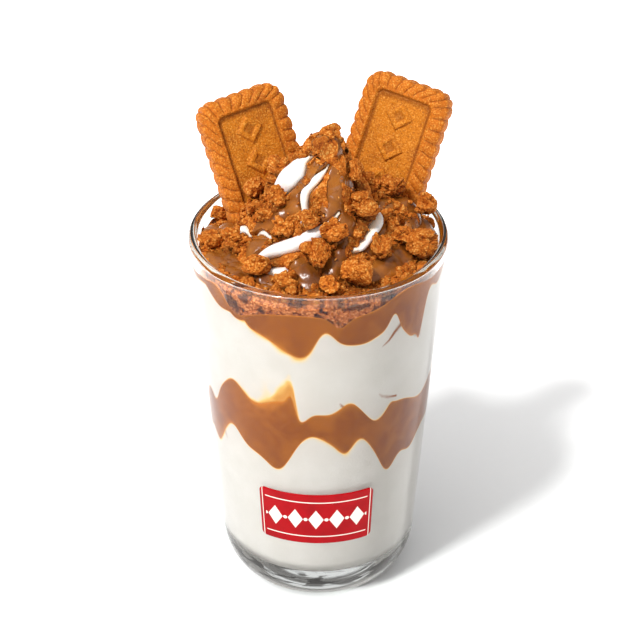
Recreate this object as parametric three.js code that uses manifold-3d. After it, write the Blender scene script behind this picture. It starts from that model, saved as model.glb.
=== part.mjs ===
// A blended ice cream dessert in a conical glass: ice cream layered with caramel sauce and crumbs,
// a soft swirl on top with thick sauce and crumb chunks, and two caramelised biscuits stuck in it.
// Millimetres, +Z up. The origin is the centre of the glass's flat foot, and -Y is the front.
// Angles are in degrees round the glass: 0 at the front, 90 at the right (+X).

import * as THREE from "three";
import { mergeVertices } from "three/addons/utils/BufferGeometryUtils.js";
import Module from "manifold-3d";

const wasm = await Module();
wasm.setup();

// ---------------------------------------------------------------- driving dimensions

const GLASS = {
  height: 138,
  rimRadius: 44,
  coneRadiusAtFoot: 33.8,
  wall: 2.7,
  base: 14.5,
  heelWidth: 12,
  heelHeight: 18,
  floorCorner: 6,
  lipRadius: 1.5,
  segments: 48,
};

const GAP = 0.3; // clear space between neighbouring pieces

// Edge between two layers: its level inside the food and its level at the glass, [angle, height,
// half width] of each wave that shows in front, the height of the waves behind, and their seed.
const MIDDLE_SAUCE_FOOT = {
  inside: 68,
  level: 68.1,
  waves: [
    [-66.6, -6.1, 6.4], [-50.3, 7.1, 7.8], [-20.9, -6.7, 9.1], [-3.4, 11.3, 13.2],
    [14.9, -7.6, 6], [19, 11.1, 10], [40.1, -9.7, 7.3], [56.8, -5.9, 8.7], [-86, -8, 10],
  ],
  behind: 7,
  seed: 11,
};
const MIDDLE_SAUCE_TOP = {
  inside: 88,
  level: 88,
  waves: [
    [-65, -7.3, 5.7], [-46.4, 7.6, 9.1], [-16.8, 5.6, 12.6], [-13.4, 6.5, 2.6], [-9.4, -6.5, 5.3],
    [15.6, 4.7, 6.7], [30.6, -5.4, 6.7], [39, 1.3, 2.5], [62.7, -5.1, 12.1], [-86, -16, 12],
  ],
  behind: 5,
  seed: 12,
};
const TOP_SAUCE_FOOT = {
  inside: 117,
  level: 121.5,
  waves: [
    [-67, 8.9, 14.7], [-43.3, 2.3, 5.9], [-37, 2.5, 3], [-6.4, -8.9, 16], [2.6, 8.4, 6],
    [21.4, -3.7, 10.2], [37.1, 5.7, 3.5], [52, -9.7, 9.5], [55.5, -7.9, 2.4], [60.3, 9.8, 6.4],
    [80, 9, 13], [-86, 5.5, 11],
  ],
  behind: -7,
  seed: 13,
};
const CRUMB_FOOT = {
  inside: 123,
  level: 128.5,
  waves: [
    [-63, 2.8, 8.9], [-51.2, 7.9, 8.4], [-46, -5.8, 13.6], [-8.5, 1.7, 16],
    [9.8, -3.9, 4.7], [44.4, 5.6, 16], [75, 3.2, 16], [-86, 1.7, 12],
  ],
  behind: 2,
  seed: 14,
};
const BEHIND = { first: 102, step: 22.5, count: 8, halfWidth: 9.5 }; // waves that the front view hides
const SAUCE_LEAST = 2; // thinnest sauce between two layer edges

// Rings of a layer's face inside its wall ring: points, share of the radius, and share of the waves.
const WALL_POINTS = 96;
const FACE_RINGS = [
  { count: 48, reach: 0.72, wave: 0.35 },
  { count: 16, reach: 0.36, wave: 0 },
];

// Crumb layer's upper face: depths below the rim, radii that its rise runs between, and its rings.
const CRUMB_TOP = { inner: 9.5, front: 3, back: 8.2, riseFrom: 27, riseTo: 38, lump: 0.7 };
const CRUMB_LUMPS = { around: 13, acrossTurn: 8, acrossRadius: 0.9 };
const CRUMB_TOP_RINGS = [
  { count: 96, reach: 1 },
  { count: 96, reach: 0.92 },
  { count: 48, reach: 0.82 },
  { count: 48, reach: 0.66 },
  { count: 16, reach: 0.33 },
];

const SWIRL = {
  edgeRadius: 33.8,
  edgeShift: 0.9,
  reach: 41, // radius where the heap's curve runs out
  drop: 6, // below the rim, at that radius
  rise: 49,
  budHeight: 34.5, // of the small curl at the peak, above the rim
  budRadius: 7.8,
  shoulder: 6.2, // radius where the cone meets the curl
  armPitch: 9.3, // between neighbouring ridges along a radius
  arms: 6,
  ridge: 5,
  ridgeFrom: [2, 12], // radii over which the ridges rise
  ridgeFade: [25, 36], // radii over which most of their height goes again
  lean: 3, // sideways shift of the peak
  leanHeight: 42, // above the rim, where the shift is that much
  foot: 14.5, // below the rim
  segments: 52,
  rings: 18,
};

const BISCUIT = {
  width: 31.5,
  length: 60,
  thickness: 8,
  corner: 6,
  scallopsAcross: 7,
  scallopsAlong: 13,
  scallopDepth: 1.1,
  pointsPerScallop: 2,
  shoulder: 1.7,
  panelWidth: 19,
  panelLength: 48,
  panelDepth: 1.3,
  panelCorner: 2,
  lozenge: 5,
  lozengeTop: 4,
  lozengeHeight: 0.9,
  lozengePlaces: [-17.3, -6, 6, 17.3],
};

// Food piled against the biscuits: [x, y, height, half width] of each mound on the heap.
const MOUNDS = [[31, 7, 6.5, 7], [22, 9, 2.5, 6], [-15, 6, 2.5, 8]];

// Centre of each biscuit, and how it leans back, rolls sideways and turns, in degrees.
const BISCUIT_PLACES = {
  biscuit_left: { at: [-19.3, 17.3, GLASS.height + 11], lean: 18, roll: -17.1, turn: 22.3 },
  biscuit_right: { at: [23.4, 23.6, GLASS.height + 12.5], lean: 18, roll: 17.5, turn: -19.3 },
};

// Thick sauce on the swirl: half width, thickness, and the [x, y] points that each band runs through.
const SAUCE_BANDS = [
  { halfWidth: 4.2, thickness: 2.2, path: [[1, -2], [4, -6], [5, -12], [3, -18]] },
  { halfWidth: 2.9, thickness: 1.8, path: [[-1, -6], [-4, -9], [-10, -10]] },
  { halfWidth: 3, thickness: 1.8, path: [[-8, -13], [-13, -12], [-19, -10]] },
  { halfWidth: 4, thickness: 2.3, path: [[-37, 5], [-33, 9], [-29, 1]] },
  { halfWidth: 5, thickness: 2.6, path: [[-34, -11], [-29, -17], [-26, -22]] },
  { halfWidth: 3.4, thickness: 2, path: [[-18, -12], [-20, -16], [-22, -19]] },
  { halfWidth: 3.4, thickness: 2, path: [[-19, -26], [-16, -30]] },
  { halfWidth: 4.6, thickness: 2.4, path: [[-6, -24], [-4, -29], [-2, -33]] },
  { halfWidth: 4, thickness: 2.2, path: [[8, -15], [7, -20], [5, -25], [4, -30]] },
  { halfWidth: 4.4, thickness: 2.4, path: [[14, -26], [21, -23], [27, -15], [28, -9]] },
  { halfWidth: 3.2, thickness: 2, path: [[19, -6], [20, -11], [17, -17]] },
  { halfWidth: 4, thickness: 2.2, path: [[23, 2], [28, 7], [33, 5], [37, 3]] },
  { halfWidth: 3.6, thickness: 2, path: [[4, 4], [9, 13], [7, 24]] },
  { halfWidth: 4, thickness: 2.2, path: [[-4, 12], [-2, 24], [-9, 31]] },
];

// Crumb chunks as large as berries: [x, y, size]. Each lies on the heap at its x and y.
const CHUNKS = [
  [12.4, -10.5, 10.6], [12.2, -30.2, 11], [34.1, -10.6, 10.4], [-0.9, -25.2, 10.2], [-19.6, -25.9, 9.8],
  [4.4, -19.2, 9.4], [19.8, -18.4, 8.5], [9.4, -3.6, 6.6], [-27.2, -9.6, 7.9], [-12.2, -8.2, 7.6],
  [-11.6, -16.2, 7.3], [-3.6, -16.6, 7], [-36.2, -4, 7.3], [-20, 5.6, 7.6], [-12.5, 1.5, 7.2],
  [-10, -32.2, 6.8], [3.6, -35.8, 7], [26.2, -9.6, 7.3], [23.6, 9, 8.6], [14.6, 12.6, 6.8],
  [36, 5.4, 8.8], [-34.5, 17, 7], [0, 26.5, 6.8], [2, 14, 7], [-22, 33.4, 7.2], [24, 33, 7.2],
];
const PEAK_CHUNK = { size: 7.6, right: 1.6, up: 0.3 }; // from the swirl's tip
const CHUNK_SUNK = 0.28; // share of a chunk's size that its flat foot takes away
const CHUNK_REACH = 0.55; // share of a chunk's size, the radius that it rests on
const CRUMB_SUNK = 0.32; // share of a small crumb's size that lies in the food

// Small crumbs fused to the swirl or to the crumb layer: [x, y, size], then a seeded scatter.
const SMALL_CRUMBS = [
  [-4.1, -6.6, 4.8], [1.5, -12.7, 5.6], [15, 3.4, 4.9], [-6.4, -11.8, 4.8], [-17, -19.4, 5.2],
  [-22, -14, 5.8], [-23.8, -19.4, 5], [-28.6, 1.4, 4.9], [12.2, -21, 5.4], [9.6, -25.4, 5],
  [25.8, -21, 5.8], [33.6, 3, 5.6], [-33, -22, 5.4], [29, -28, 5], [-2, -37.2, 5],
];
const SCATTER = { count: 10, turn: 137.5, inner: 12, across: 21, smallest: 3.4, largest: 5, seed: 5 };

const LABEL = { centre: -1.3, halfAngle: 31.4, low: 31.6, high: 54.1, corner: 2, thickness: 0.5 };

const ROOM = { low: 90, high: GLASS.height + 60 }; // heights of the space inside the wall, carried up

const GLASS_LOOK = { color: 0xe8eeec, roughness: 0.05, metalness: 0, transparent: true, opacity: 0.3 };
const ICE_CREAM_LOOK = { color: 0xf3f1ec, roughness: 0.5, metalness: 0 };
const SAUCE_LOOK = { color: 0xa8683c, roughness: 0.22, metalness: 0 };
const CRUMB_LOOK = { color: 0xb5682c, roughness: 0.85, metalness: 0 };
const BISCUIT_LOOK = { color: 0xcd8332, roughness: 0.75, metalness: 0 };
const LABEL_LOOK = { color: 0xb8202f, roughness: 0.4, metalness: 0 };

// ---------------------------------------------------------------- small helpers

/** Seeded random numbers from 0 to 1. */
function seededRandom(seed) {
  let state = seed >>> 0;
  return () => {
    state = (state + 0x6d2b79f5) >>> 0;
    let t = Math.imul(state ^ (state >>> 15), 1 | state);
    t = (t + Math.imul(t ^ (t >>> 7), 61 | t)) ^ t;
    return ((t ^ (t >>> 14)) >>> 0) / 4294967296;
  };
}

const radians = THREE.MathUtils.degToRad;
const smoothstep = THREE.MathUtils.smoothstep;

/** Point at an angle round the glass, a radius and a height. */
function polar(angle, radius, z) {
  return new THREE.Vector3(radius * Math.sin(radians(angle)), -radius * Math.cos(radians(angle)), z);
}

/** Angle round the glass of a point, from -180 to 180. */
const angleOf = (x, y) => THREE.MathUtils.radToDeg(Math.atan2(x, -y));

/** Signed difference of two angles, from -180 to 180. */
const turnBetween = (a, b) => THREE.MathUtils.euclideanModulo(a - b + 180, 360) - 180;

/** Outer radius of the glass's cone at a height. */
function coneRadius(z) {
  return GLASS.coneRadiusAtFoot + (GLASS.rimRadius - GLASS.coneRadiusAtFoot) * (z / GLASS.height);
}

/** Radius of the contents at a height, clear of the glass's wall. */
const fillRadius = (z) => coneRadius(z) - GLASS.wall - GAP;

/** A ring of points; pointAt gets the angle in degrees. */
function ringOf(count, pointAt) {
  return Array.from({ length: count }, (_, i) => pointAt((i / count) * 360));
}

/** Triangles between two rings of points, where one count divides the other or is 1. */
function stitchRings(lower, upper, firstLower, firstUpper, faces) {
  const coarse = Math.min(lower, upper);
  const ratio = Math.max(lower, upper) / coarse;
  for (let i = 0; i < coarse; i += 1) {
    const next = (i + 1) % coarse;
    for (let j = i * ratio; j < (i + 1) * ratio; j += 1) {
      const after = (j + 1) % (coarse * ratio);
      if (lower < upper) faces.push(firstLower + i, firstUpper + after, firstUpper + j);
      else faces.push(firstLower + j, firstLower + after, firstUpper + i);
    }
    const end = ((i + 1) * ratio) % (coarse * ratio);
    if (coarse === 1) continue;
    if (lower < upper) faces.push(firstLower + i, firstLower + next, firstUpper + end);
    else faces.push(firstLower + end, firstUpper + next, firstUpper + i);
  }
}

/** Closed solid through a stack of rings, from its bottom centre out, up and in to its top centre. */
function solidThroughRings(rings) {
  const positions = [];
  const faces = [];
  let first = 0;
  rings.forEach((ring, k) => {
    ring.forEach((point) => positions.push(point.x, point.y, point.z));
    if (k > 0) {
      stitchRings(rings[k - 1].length, ring.length, first - rings[k - 1].length, first, faces);
    }
    first += ring.length;
  });
  const geometry = new THREE.BufferGeometry();
  geometry.setAttribute("position", new THREE.Float32BufferAttribute(positions, 3));
  geometry.setIndex(faces);
  return geometry;
}

/** Volume enclosed by a merged geometry, negative where its faces point inwards. */
function signedVolume(geometry) {
  const p = geometry.attributes.position;
  const index = geometry.index.array;
  const corner = (i) => new THREE.Vector3().fromBufferAttribute(p, index[i]);
  let volume = 0;
  for (let i = 0; i < index.length; i += 3) {
    volume += corner(i).dot(corner(i + 1).cross(corner(i + 2))) / 6;
  }
  return volume;
}

/** The same shape with shared vertices merged and its faces pointing out. */
function merged(geometry) {
  const bare = geometry.clone();
  bare.deleteAttribute("normal");
  bare.deleteAttribute("uv");
  const result = mergeVertices(bare, 1e-4);
  if (signedVolume(result) < 0) result.index.array.reverse();
  return result;
}

/** Solid for joins and cuts. */
function toSolid(geometry) {
  const closed = merged(geometry);
  return new wasm.Manifold(
    new wasm.Mesh({
      numProp: 3,
      vertProperties: new Float32Array(closed.attributes.position.array),
      triVerts: new Uint32Array(closed.index.array),
    }),
  );
}

/** The largest connected piece of a solid. */
function largestPiece(solid) {
  return solid.decompose().reduce((best, piece) => (piece.volume() > best.volume() ? piece : best));
}

/** Geometry of a solid. */
function toGeometry(solid) {
  const mesh = solid.getMesh();
  const geometry = new THREE.BufferGeometry();
  geometry.setAttribute("position", new THREE.BufferAttribute(new Float32Array(mesh.vertProperties), 3));
  geometry.setIndex(new THREE.BufferAttribute(new Uint32Array(mesh.triVerts), 1));
  return geometry;
}

// ---------------------------------------------------------------- the glass

/** Conical glass with a thick clear base, a round heel and a round lip. */
function glassGeometry() {
  const { height, wall, base, heelWidth, heelHeight, floorCorner, lipRadius } = GLASS;
  const profile = [new THREE.Vector2(0, 0)];
  const heelTop = coneRadius(heelHeight);
  for (let i = 0; i <= 4; i += 1) {
    const turn = (i / 4) * (Math.PI / 2);
    const across = heelTop - heelWidth * (1 - Math.sin(turn));
    profile.push(new THREE.Vector2(across, heelHeight * (1 - Math.cos(turn))));
  }
  const lipCentre = new THREE.Vector2(coneRadius(height) - lipRadius, height - lipRadius);
  for (let i = 0; i <= 4; i += 1) {
    const turn = (i / 4) * Math.PI;
    const across = lipCentre.x + lipRadius * Math.cos(turn);
    profile.push(new THREE.Vector2(across, lipCentre.y + lipRadius * Math.sin(turn)));
  }
  const innerRadius = (z) => coneRadius(z) - wall;
  profile.push(new THREE.Vector2(innerRadius(height - 4), height - 4));
  const cornerRadius = innerRadius(base + floorCorner);
  for (let i = 0; i <= 3; i += 1) {
    const turn = (i / 3) * (Math.PI / 2);
    const across = cornerRadius - floorCorner * (1 - Math.cos(turn));
    profile.push(new THREE.Vector2(across, base + floorCorner * (1 - Math.sin(turn))));
  }
  profile.push(new THREE.Vector2(0, base));
  return new THREE.LatheGeometry(profile, GLASS.segments).rotateX(Math.PI / 2);
}

/** Printed panel wrapped round the front of the glass. */
function labelGeometry() {
  const { centre, halfAngle, low, high, corner, thickness } = LABEL;
  const columns = 14;
  const middle = (low + high) / 2;
  const halfHeight = (high - low) / 2;
  const halfWidth = radians(halfAngle) * coneRadius(middle);
  const slab = new THREE.BoxGeometry(2, 2, 1, columns, 1, 1);
  const p = slab.attributes.position;
  for (let i = 0; i < p.count; i += 1) {
    const along = Math.sin((p.getX(i) * Math.PI) / 2) * halfWidth;
    const intoCorner = Math.max(0, Math.abs(along) - (halfWidth - corner));
    const cut = corner - Math.sqrt(Math.max(0, corner ** 2 - intoCorner ** 2));
    const z = middle + Math.sign(p.getY(i)) * (halfHeight - cut);
    const radius = coneRadius(z) + GAP + (p.getZ(i) > 0 ? thickness : 0);
    const angle = centre + (along / halfWidth) * halfAngle;
    p.setXYZ(i, ...polar(angle, radius, z).toArray());
  }
  return slab;
}

// ---------------------------------------------------------------- layers in the glass

/** Waves on the side that the front view hides, alternating up and down. */
function wavesBehind(height, seed) {
  const random = seededRandom(seed);
  const { first, step, count, halfWidth } = BEHIND;
  return Array.from({ length: count }, (_, i) => [
    first + i * step,
    (i % 2 === 0 ? height : -height) * (0.6 + 0.6 * random()),
    halfWidth * (0.7 + 0.5 * random()),
  ]);
}

/** Height of a layer edge at the glass: its level plus a bell curve for each wave. */
function edgeFunction(edge) {
  const waves = [...edge.waves, ...wavesBehind(edge.behind, edge.seed)];
  return (angle) =>
    waves.reduce(
      (z, [at, height, halfWidth]) => z + height * Math.exp(-((turnBetween(angle, at) / halfWidth) ** 2)),
      edge.level,
    );
}

const middleSauceFoot = edgeFunction(MIDDLE_SAUCE_FOOT);
const middleSauceTop = edgeFunction(MIDDLE_SAUCE_TOP);
const crumbFoot = edgeFunction(CRUMB_FOOT);
const plainTopSauceFoot = edgeFunction(TOP_SAUCE_FOOT);
const topSauceFoot = (angle) => Math.min(plainTopSauceFoot(angle), crumbFoot(angle) - SAUCE_LEAST);

/** Height of the mounds over a point. */
function moundHeight(x, y) {
  return MOUNDS.reduce((sum, [atX, atY, height, halfWidth]) => {
    return sum + height * Math.exp(-((x - atX) ** 2 + (y - atY) ** 2) / halfWidth ** 2);
  }, 0);
}

/** Height of the crumb layer's upper face, lower at the back, lumpy where it shows. */
function crumbTop(angle, radius) {
  const { inner, front, back, riseFrom, riseTo, lump } = CRUMB_TOP;
  const { around, acrossTurn, acrossRadius } = CRUMB_LUMPS;
  const backward = (1 - Math.cos(radians(angle))) / 2;
  const atWall = front + (back - front) * backward;
  const rise = smoothstep(radius, riseFrom, riseTo);
  const across = Math.cos(radians(angle * acrossTurn) + radius * acrossRadius);
  const lumps = lump * rise * Math.sin(radians(angle * around)) * across;
  const flat = polar(angle, radius, 0);
  return GLASS.height - inner + (inner - atWall) * rise + lumps + moundHeight(flat.x, flat.y) * rise;
}

/** Rings of one layer face, from the wall to its centre, with waves that fade inwards. */
function faceRings(wallHeight, level, offset) {
  const rim = ringOf(WALL_POINTS, (angle) => {
    const z = wallHeight(angle) + offset;
    return polar(angle, fillRadius(z), z);
  });
  const inner = FACE_RINGS.map(({ count, reach, wave }) =>
    ringOf(count, (angle) => {
      const z = level + (wallHeight(angle) - level) * wave + offset;
      return polar(angle, fillRadius(level) * reach, z);
    }),
  );
  return [rim, ...inner, [new THREE.Vector3(0, 0, level + offset)]];
}

/** Rings of the crumb layer's upper face, from the wall to its centre. */
function crumbTopRings(offset) {
  const rings = CRUMB_TOP_RINGS.map(({ count, reach }) =>
    ringOf(count, (angle) => {
      const wallHeight = crumbTop(angle, fillRadius(GLASS.height)) + offset;
      const radius = fillRadius(wallHeight) * reach;
      return polar(angle, radius, crumbTop(angle, radius) + offset);
    }),
  );
  return [...rings, [new THREE.Vector3(0, 0, crumbTop(0, 0) + offset)]];
}

/** A layer from one face up to another. */
function layerGeometry(footRings, topRings) {
  return solidThroughRings([...footRings.slice().reverse(), ...topRings]);
}

/** Lowest ice cream, from the glass's round inner corner up to the middle sauce. */
function lowerIceCreamGeometry() {
  const floor = GLASS.base + GAP;
  const corner = GLASS.floorCorner - GAP;
  const cornerRadius = fillRadius(floor + corner);
  const [outer, middle] = FACE_RINGS;
  const rings = [[new THREE.Vector3(0, 0, floor)]];
  rings.push(ringOf(middle.count, (angle) => polar(angle, cornerRadius * middle.reach, floor)));
  rings.push(ringOf(outer.count, (angle) => polar(angle, cornerRadius - corner, floor)));
  for (let i = 1; i <= 3; i += 1) {
    const turn = (i / 3) * (Math.PI / 2);
    const radius = cornerRadius - corner * (1 - Math.sin(turn));
    const z = floor + corner * (1 - Math.cos(turn));
    rings.push(ringOf(outer.count, (angle) => polar(angle, radius, z)));
  }
  const topRings = faceRings(middleSauceFoot, MIDDLE_SAUCE_FOOT.inside, -GAP / 2);
  return solidThroughRings([...rings, ...topRings]);
}

// ---------------------------------------------------------------- the swirl

/** Distance from a point to a path of straight stretches. */
function distanceToPath(x, y, path) {
  let best = Infinity;
  for (let i = 0; i + 1 < path.length; i += 1) {
    const [ax, ay] = path[i];
    const [bx, by] = path[i + 1];
    const along = ((x - ax) * (bx - ax) + (y - ay) * (by - ay)) / ((bx - ax) ** 2 + (by - ay) ** 2);
    const t = THREE.MathUtils.clamp(along, 0, 1);
    best = Math.min(best, Math.hypot(x - ax - t * (bx - ax), y - ay - t * (by - ay)));
  }
  return best;
}

/** Thickness of the sauce over a point, with a round section across each band. */
function sauceThickness(x, y) {
  return SAUCE_BANDS.reduce((most, { halfWidth, thickness, path }) => {
    const across = distanceToPath(x, y, path) / halfWidth;
    return Math.max(most, thickness * Math.sqrt(Math.max(0, 1 - across ** 2)));
  }, 0);
}

/** Smooth height of the heap, before its ridges: a hollow cone with a round curl at its peak. */
function heapHeight(radius) {
  const inward = Math.max(0, 1 - Math.max(radius, SWIRL.shoulder) / SWIRL.reach);
  const cone = SWIRL.rise * inward ** 2 - SWIRL.drop;
  const bud = SWIRL.budHeight * (1 - (radius / SWIRL.budRadius) ** 6);
  return GLASS.height + Math.max(cone, bud);
}

/** Height of the swirl: the heap, six round ridges that wind down it, and the sauce over them. */
function swirlHeight(x, y) {
  const radius = Math.hypot(x, y);
  const phase = radius / SWIRL.armPitch + (angleOf(x, y) * SWIRL.arms) / 360;
  const fade = 1 - 0.7 * smoothstep(radius, ...SWIRL.ridgeFade);
  const strength = SWIRL.ridge * smoothstep(radius, ...SWIRL.ridgeFrom) * fade;
  const ridge = strength * (Math.abs(Math.cos(Math.PI * phase)) - 0.5);
  const sauce = sauceThickness(x, y);
  const bare = heapHeight(radius) + moundHeight(x, y);
  return bare + (sauce > 0 ? Math.max(ridge, 0.3 + sauce) : ridge);
}

/** Sideways shift of the peak at a height. */
const peakShift = (z) => SWIRL.lean * Math.max(0, (z - GLASS.height) / SWIRL.leanHeight) ** 2;

/** Radius of the swirl's foot at an angle. */
function swirlEdge(angle) {
  return SWIRL.edgeRadius + SWIRL.edgeShift * Math.cos(radians(angle)) + 0.5 * Math.sin(radians(7 * angle));
}

/** Solid under the swirl's upper face, down to a flat foot inside the crumb layer. */
function swirlBlock() {
  const foot = GLASS.height - SWIRL.foot;
  const pointOn = (angle, share) => {
    const flat = polar(angle, swirlEdge(angle) * share, 0);
    const z = swirlHeight(flat.x, flat.y);
    return new THREE.Vector3(flat.x + peakShift(z), flat.y, z);
  };
  const rings = [[new THREE.Vector3(0, 0, foot)]];
  rings.push(ringOf(SWIRL.segments, (angle) => polar(angle, swirlEdge(angle), foot)));
  for (let k = SWIRL.rings; k >= 1; k -= 1) {
    rings.push(ringOf(SWIRL.segments, (angle) => pointOn(angle, (k / SWIRL.rings) ** 0.92)));
  }
  return solidThroughRings([...rings, [pointOn(0, 0)]]);
}

// ---------------------------------------------------------------- biscuits

/** Point on a rectangle with round corners; step counts scallops from the right side's foot. */
function framePoint(step, width, length, corner) {
  const { scallopsAlong: along, scallopsAcross: across } = BISCUIT;
  const halfWidth = width / 2;
  const halfLength = length / 2;
  const s = THREE.MathUtils.euclideanModulo(step, 2 * (along + across));
  const stepLength = length / along;
  const stepWidth = width / across;
  const flat = new THREE.Vector2();
  if (s < along) flat.set(halfWidth, -halfLength + stepLength * s);
  else if (s < along + across) flat.set(halfWidth - stepWidth * (s - along), halfLength);
  else if (s < 2 * along + across) flat.set(-halfWidth, halfLength - stepLength * (s - along - across));
  else flat.set(-halfWidth + stepWidth * (s - 2 * along - across), -halfLength);
  const core = flat.clone().clamp(
    new THREE.Vector2(corner - halfWidth, corner - halfLength),
    new THREE.Vector2(halfWidth - corner, halfLength - corner),
  );
  const outward = flat.clone().sub(core).normalize();
  return { point: core.addScaledVector(outward, corner), outward };
}

/** One ring of a biscuit: inset from its outline, scalloped by a share, at a height. */
function biscuitRing(count, inset, scallop, z) {
  const { width, length, corner, scallopDepth, scallopsAlong, scallopsAcross } = BISCUIT;
  const scallops = 2 * (scallopsAlong + scallopsAcross);
  return Array.from({ length: count }, (_, i) => {
    const step = (i / count) * scallops;
    const { point, outward } = framePoint(step, width, length, corner);
    const swell = scallopDepth * (Math.abs(Math.sin(Math.PI * step)) - 1) * scallop - inset;
    point.addScaledVector(outward, swell);
    return new THREE.Vector3(point.x, point.y, z);
  });
}

/** One ring of a biscuit's pressed panel, at a height. */
function panelRing(count, inset, z) {
  const { panelWidth, panelLength, panelCorner, scallopsAlong, scallopsAcross } = BISCUIT;
  const scallops = 2 * (scallopsAlong + scallopsAcross);
  return Array.from({ length: count }, (_, i) => {
    const step = (i / count) * scallops;
    const { point } = framePoint(step, panelWidth - 2 * inset, panelLength - 2 * inset, panelCorner);
    return new THREE.Vector3(point.x, point.y, z);
  });
}

/** Biscuit lying flat: scalloped edge, round shoulders, pressed panel with raised lozenges. */
function biscuitSolid() {
  const { thickness, shoulder, panelDepth, pointsPerScallop } = BISCUIT;
  const scallops = 2 * (BISCUIT.scallopsAlong + BISCUIT.scallopsAcross);
  const count = scallops * pointsPerScallop;
  const half = thickness / 2;
  const floor = half - panelDepth;
  const slab = solidThroughRings([
    [new THREE.Vector3(0, 0, -half)],
    biscuitRing(scallops, 1.6, 0, -half),
    biscuitRing(count, 0, 1, -half),
    biscuitRing(count, 0, 1, half - shoulder),
    biscuitRing(count, shoulder, 0.6, half),
    panelRing(scallops, -0.6, half - 0.2),
    panelRing(scallops, 0, floor),
    [new THREE.Vector3(0, 0, floor)],
  ]);
  const { lozenge, lozengeTop, lozengeHeight, lozengePlaces } = BISCUIT;
  const sunk = 1;
  return lozengePlaces.reduce((solid, place) => {
    const stud = new THREE.CylinderGeometry(lozengeTop, lozenge, lozengeHeight + sunk, 4);
    stud.rotateX(Math.PI / 2);
    stud.translate(0, place, floor + (lozengeHeight - sunk) / 2);
    return solid.add(toSolid(stud));
  }, toSolid(slab));
}

/** Plain block round a biscuit, clear of it on all sides. */
function biscuitSocket() {
  const { width, length, thickness, corner, scallopsAlong, scallopsAcross } = BISCUIT;
  const points = 2 * (scallopsAlong + scallopsAcross);
  const clear = 1.5 * GAP;
  const ringAt = (z) =>
    Array.from({ length: points }, (_, i) => {
      const { point, outward } = framePoint(i, width, length, corner);
      point.addScaledVector(outward, clear);
      return new THREE.Vector3(point.x, point.y, z);
    });
  const half = thickness / 2 + clear;
  return solidThroughRings([
    [new THREE.Vector3(0, 0, -half)], ringAt(-half), ringAt(half), [new THREE.Vector3(0, 0, half)],
  ]);
}

/** Group that holds a biscuit in its place; inside it the biscuit stands up, face to the front. */
function biscuitHolder({ at, lean, roll, turn }) {
  const holder = new THREE.Group();
  holder.position.set(...at);
  holder.rotation.set(radians(-lean), radians(roll), radians(turn), "XYZ");
  return holder;
}

// ---------------------------------------------------------------- crumbs

/** Lump with an uneven surface: a faceted ball with each corner moved in or out. */
function lumpGeometry(size, detail, random) {
  const ball = new THREE.IcosahedronGeometry(size / 2, detail);
  ball.deleteAttribute("normal");
  ball.deleteAttribute("uv");
  const lump = mergeVertices(ball, 1e-4);
  const p = lump.attributes.position;
  for (let i = 0; i < p.count; i += 1) {
    const share = 0.84 + 0.34 * random();
    p.setXYZ(i, p.getX(i) * share, p.getY(i) * share, p.getZ(i) * share);
  }
  lump.scale(0.95 + 0.2 * random(), 0.85 + 0.2 * random(), 0.75 + 0.2 * random());
  lump.rotateZ(Math.PI * 2 * random());
  lump.rotateX(0.5 * (random() - 0.5));
  return lump;
}

/** Height that a crumb rests on: the swirl, or the crumb layer outside its foot. */
function restingHeight(x, y) {
  const radius = Math.hypot(x, y);
  const onSwirl = radius < swirlEdge(angleOf(x, y));
  return onSwirl ? swirlHeight(x, y) : crumbTop(angleOf(x, y), radius);
}

/** Centre of a small crumb at x, y, sunk by a share of its size. */
function crumbCentre([x, y, size]) {
  const z = restingHeight(x, y) + size * (0.5 - CRUMB_SUNK);
  return new THREE.Vector3(x + peakShift(z), y, z);
}

/** Plane that a chunk at x, y lies on: along the heap's slope, clear of the ridges under it. */
function restingPlane([x, y, size]) {
  const radius = Math.hypot(x, y);
  const step = 0.5;
  const slope = (heapHeight(radius + step) - heapHeight(radius - step)) / (2 * step);
  const slopeX = (slope * x) / radius;
  const slopeY = (slope * y) / radius;
  let height = -Infinity;
  for (let ring = 0; ring <= 4; ring += 1) {
    for (let angle = 0; angle < 360; angle += 30) {
      const under = polar(angle, (ring / 4) * CHUNK_REACH * size, 0);
      const above = restingHeight(x + under.x, y + under.y) - slopeX * under.x - slopeY * under.y;
      height = Math.max(height, above);
    }
  }
  const normal = new THREE.Vector3(-slopeX, -slopeY, 1).normalize();
  const point = new THREE.Vector3(x + peakShift(height), y, height + GAP / normal.z);
  return { point, normal };
}

/** Block whose top face is a plane, wide and deep enough to cut a chunk flat. */
function blockUnder({ point, normal }, size) {
  const block = new THREE.BoxGeometry(3 * size, 3 * size, 2 * size).translate(0, 0, -size);
  block.applyQuaternion(new THREE.Quaternion().setFromUnitVectors(new THREE.Vector3(0, 0, 1), normal));
  return block.translate(point.x, point.y, point.z);
}

// ---------------------------------------------------------------- assembly

const dessert = new THREE.Group();

/** Adds a named piece with its own material. */
function addPiece(name, geometry, look, parent = dessert) {
  const piece = new THREE.Mesh(geometry, new THREE.MeshStandardMaterial(look));
  piece.name = name;
  parent.add(piece);
  return piece;
}

addPiece("glass", glassGeometry(), GLASS_LOOK);
addPiece("label", labelGeometry(), LABEL_LOOK);

// Biscuits, and the sockets that they press into the food.
const sockets = [];
for (const [name, place] of Object.entries(BISCUIT_PLACES)) {
  const holder = biscuitHolder(place);
  dessert.add(holder);
  const biscuit = addPiece(name, toGeometry(biscuitSolid()), BISCUIT_LOOK, holder);
  biscuit.rotation.x = Math.PI / 2;
  biscuit.updateWorldMatrix(true, false);
  sockets.push(toSolid(biscuitSocket().applyMatrix4(biscuit.matrixWorld)));
}
const withSockets = (solid) => sockets.reduce((left, socket) => left.subtract(socket), solid);

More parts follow.
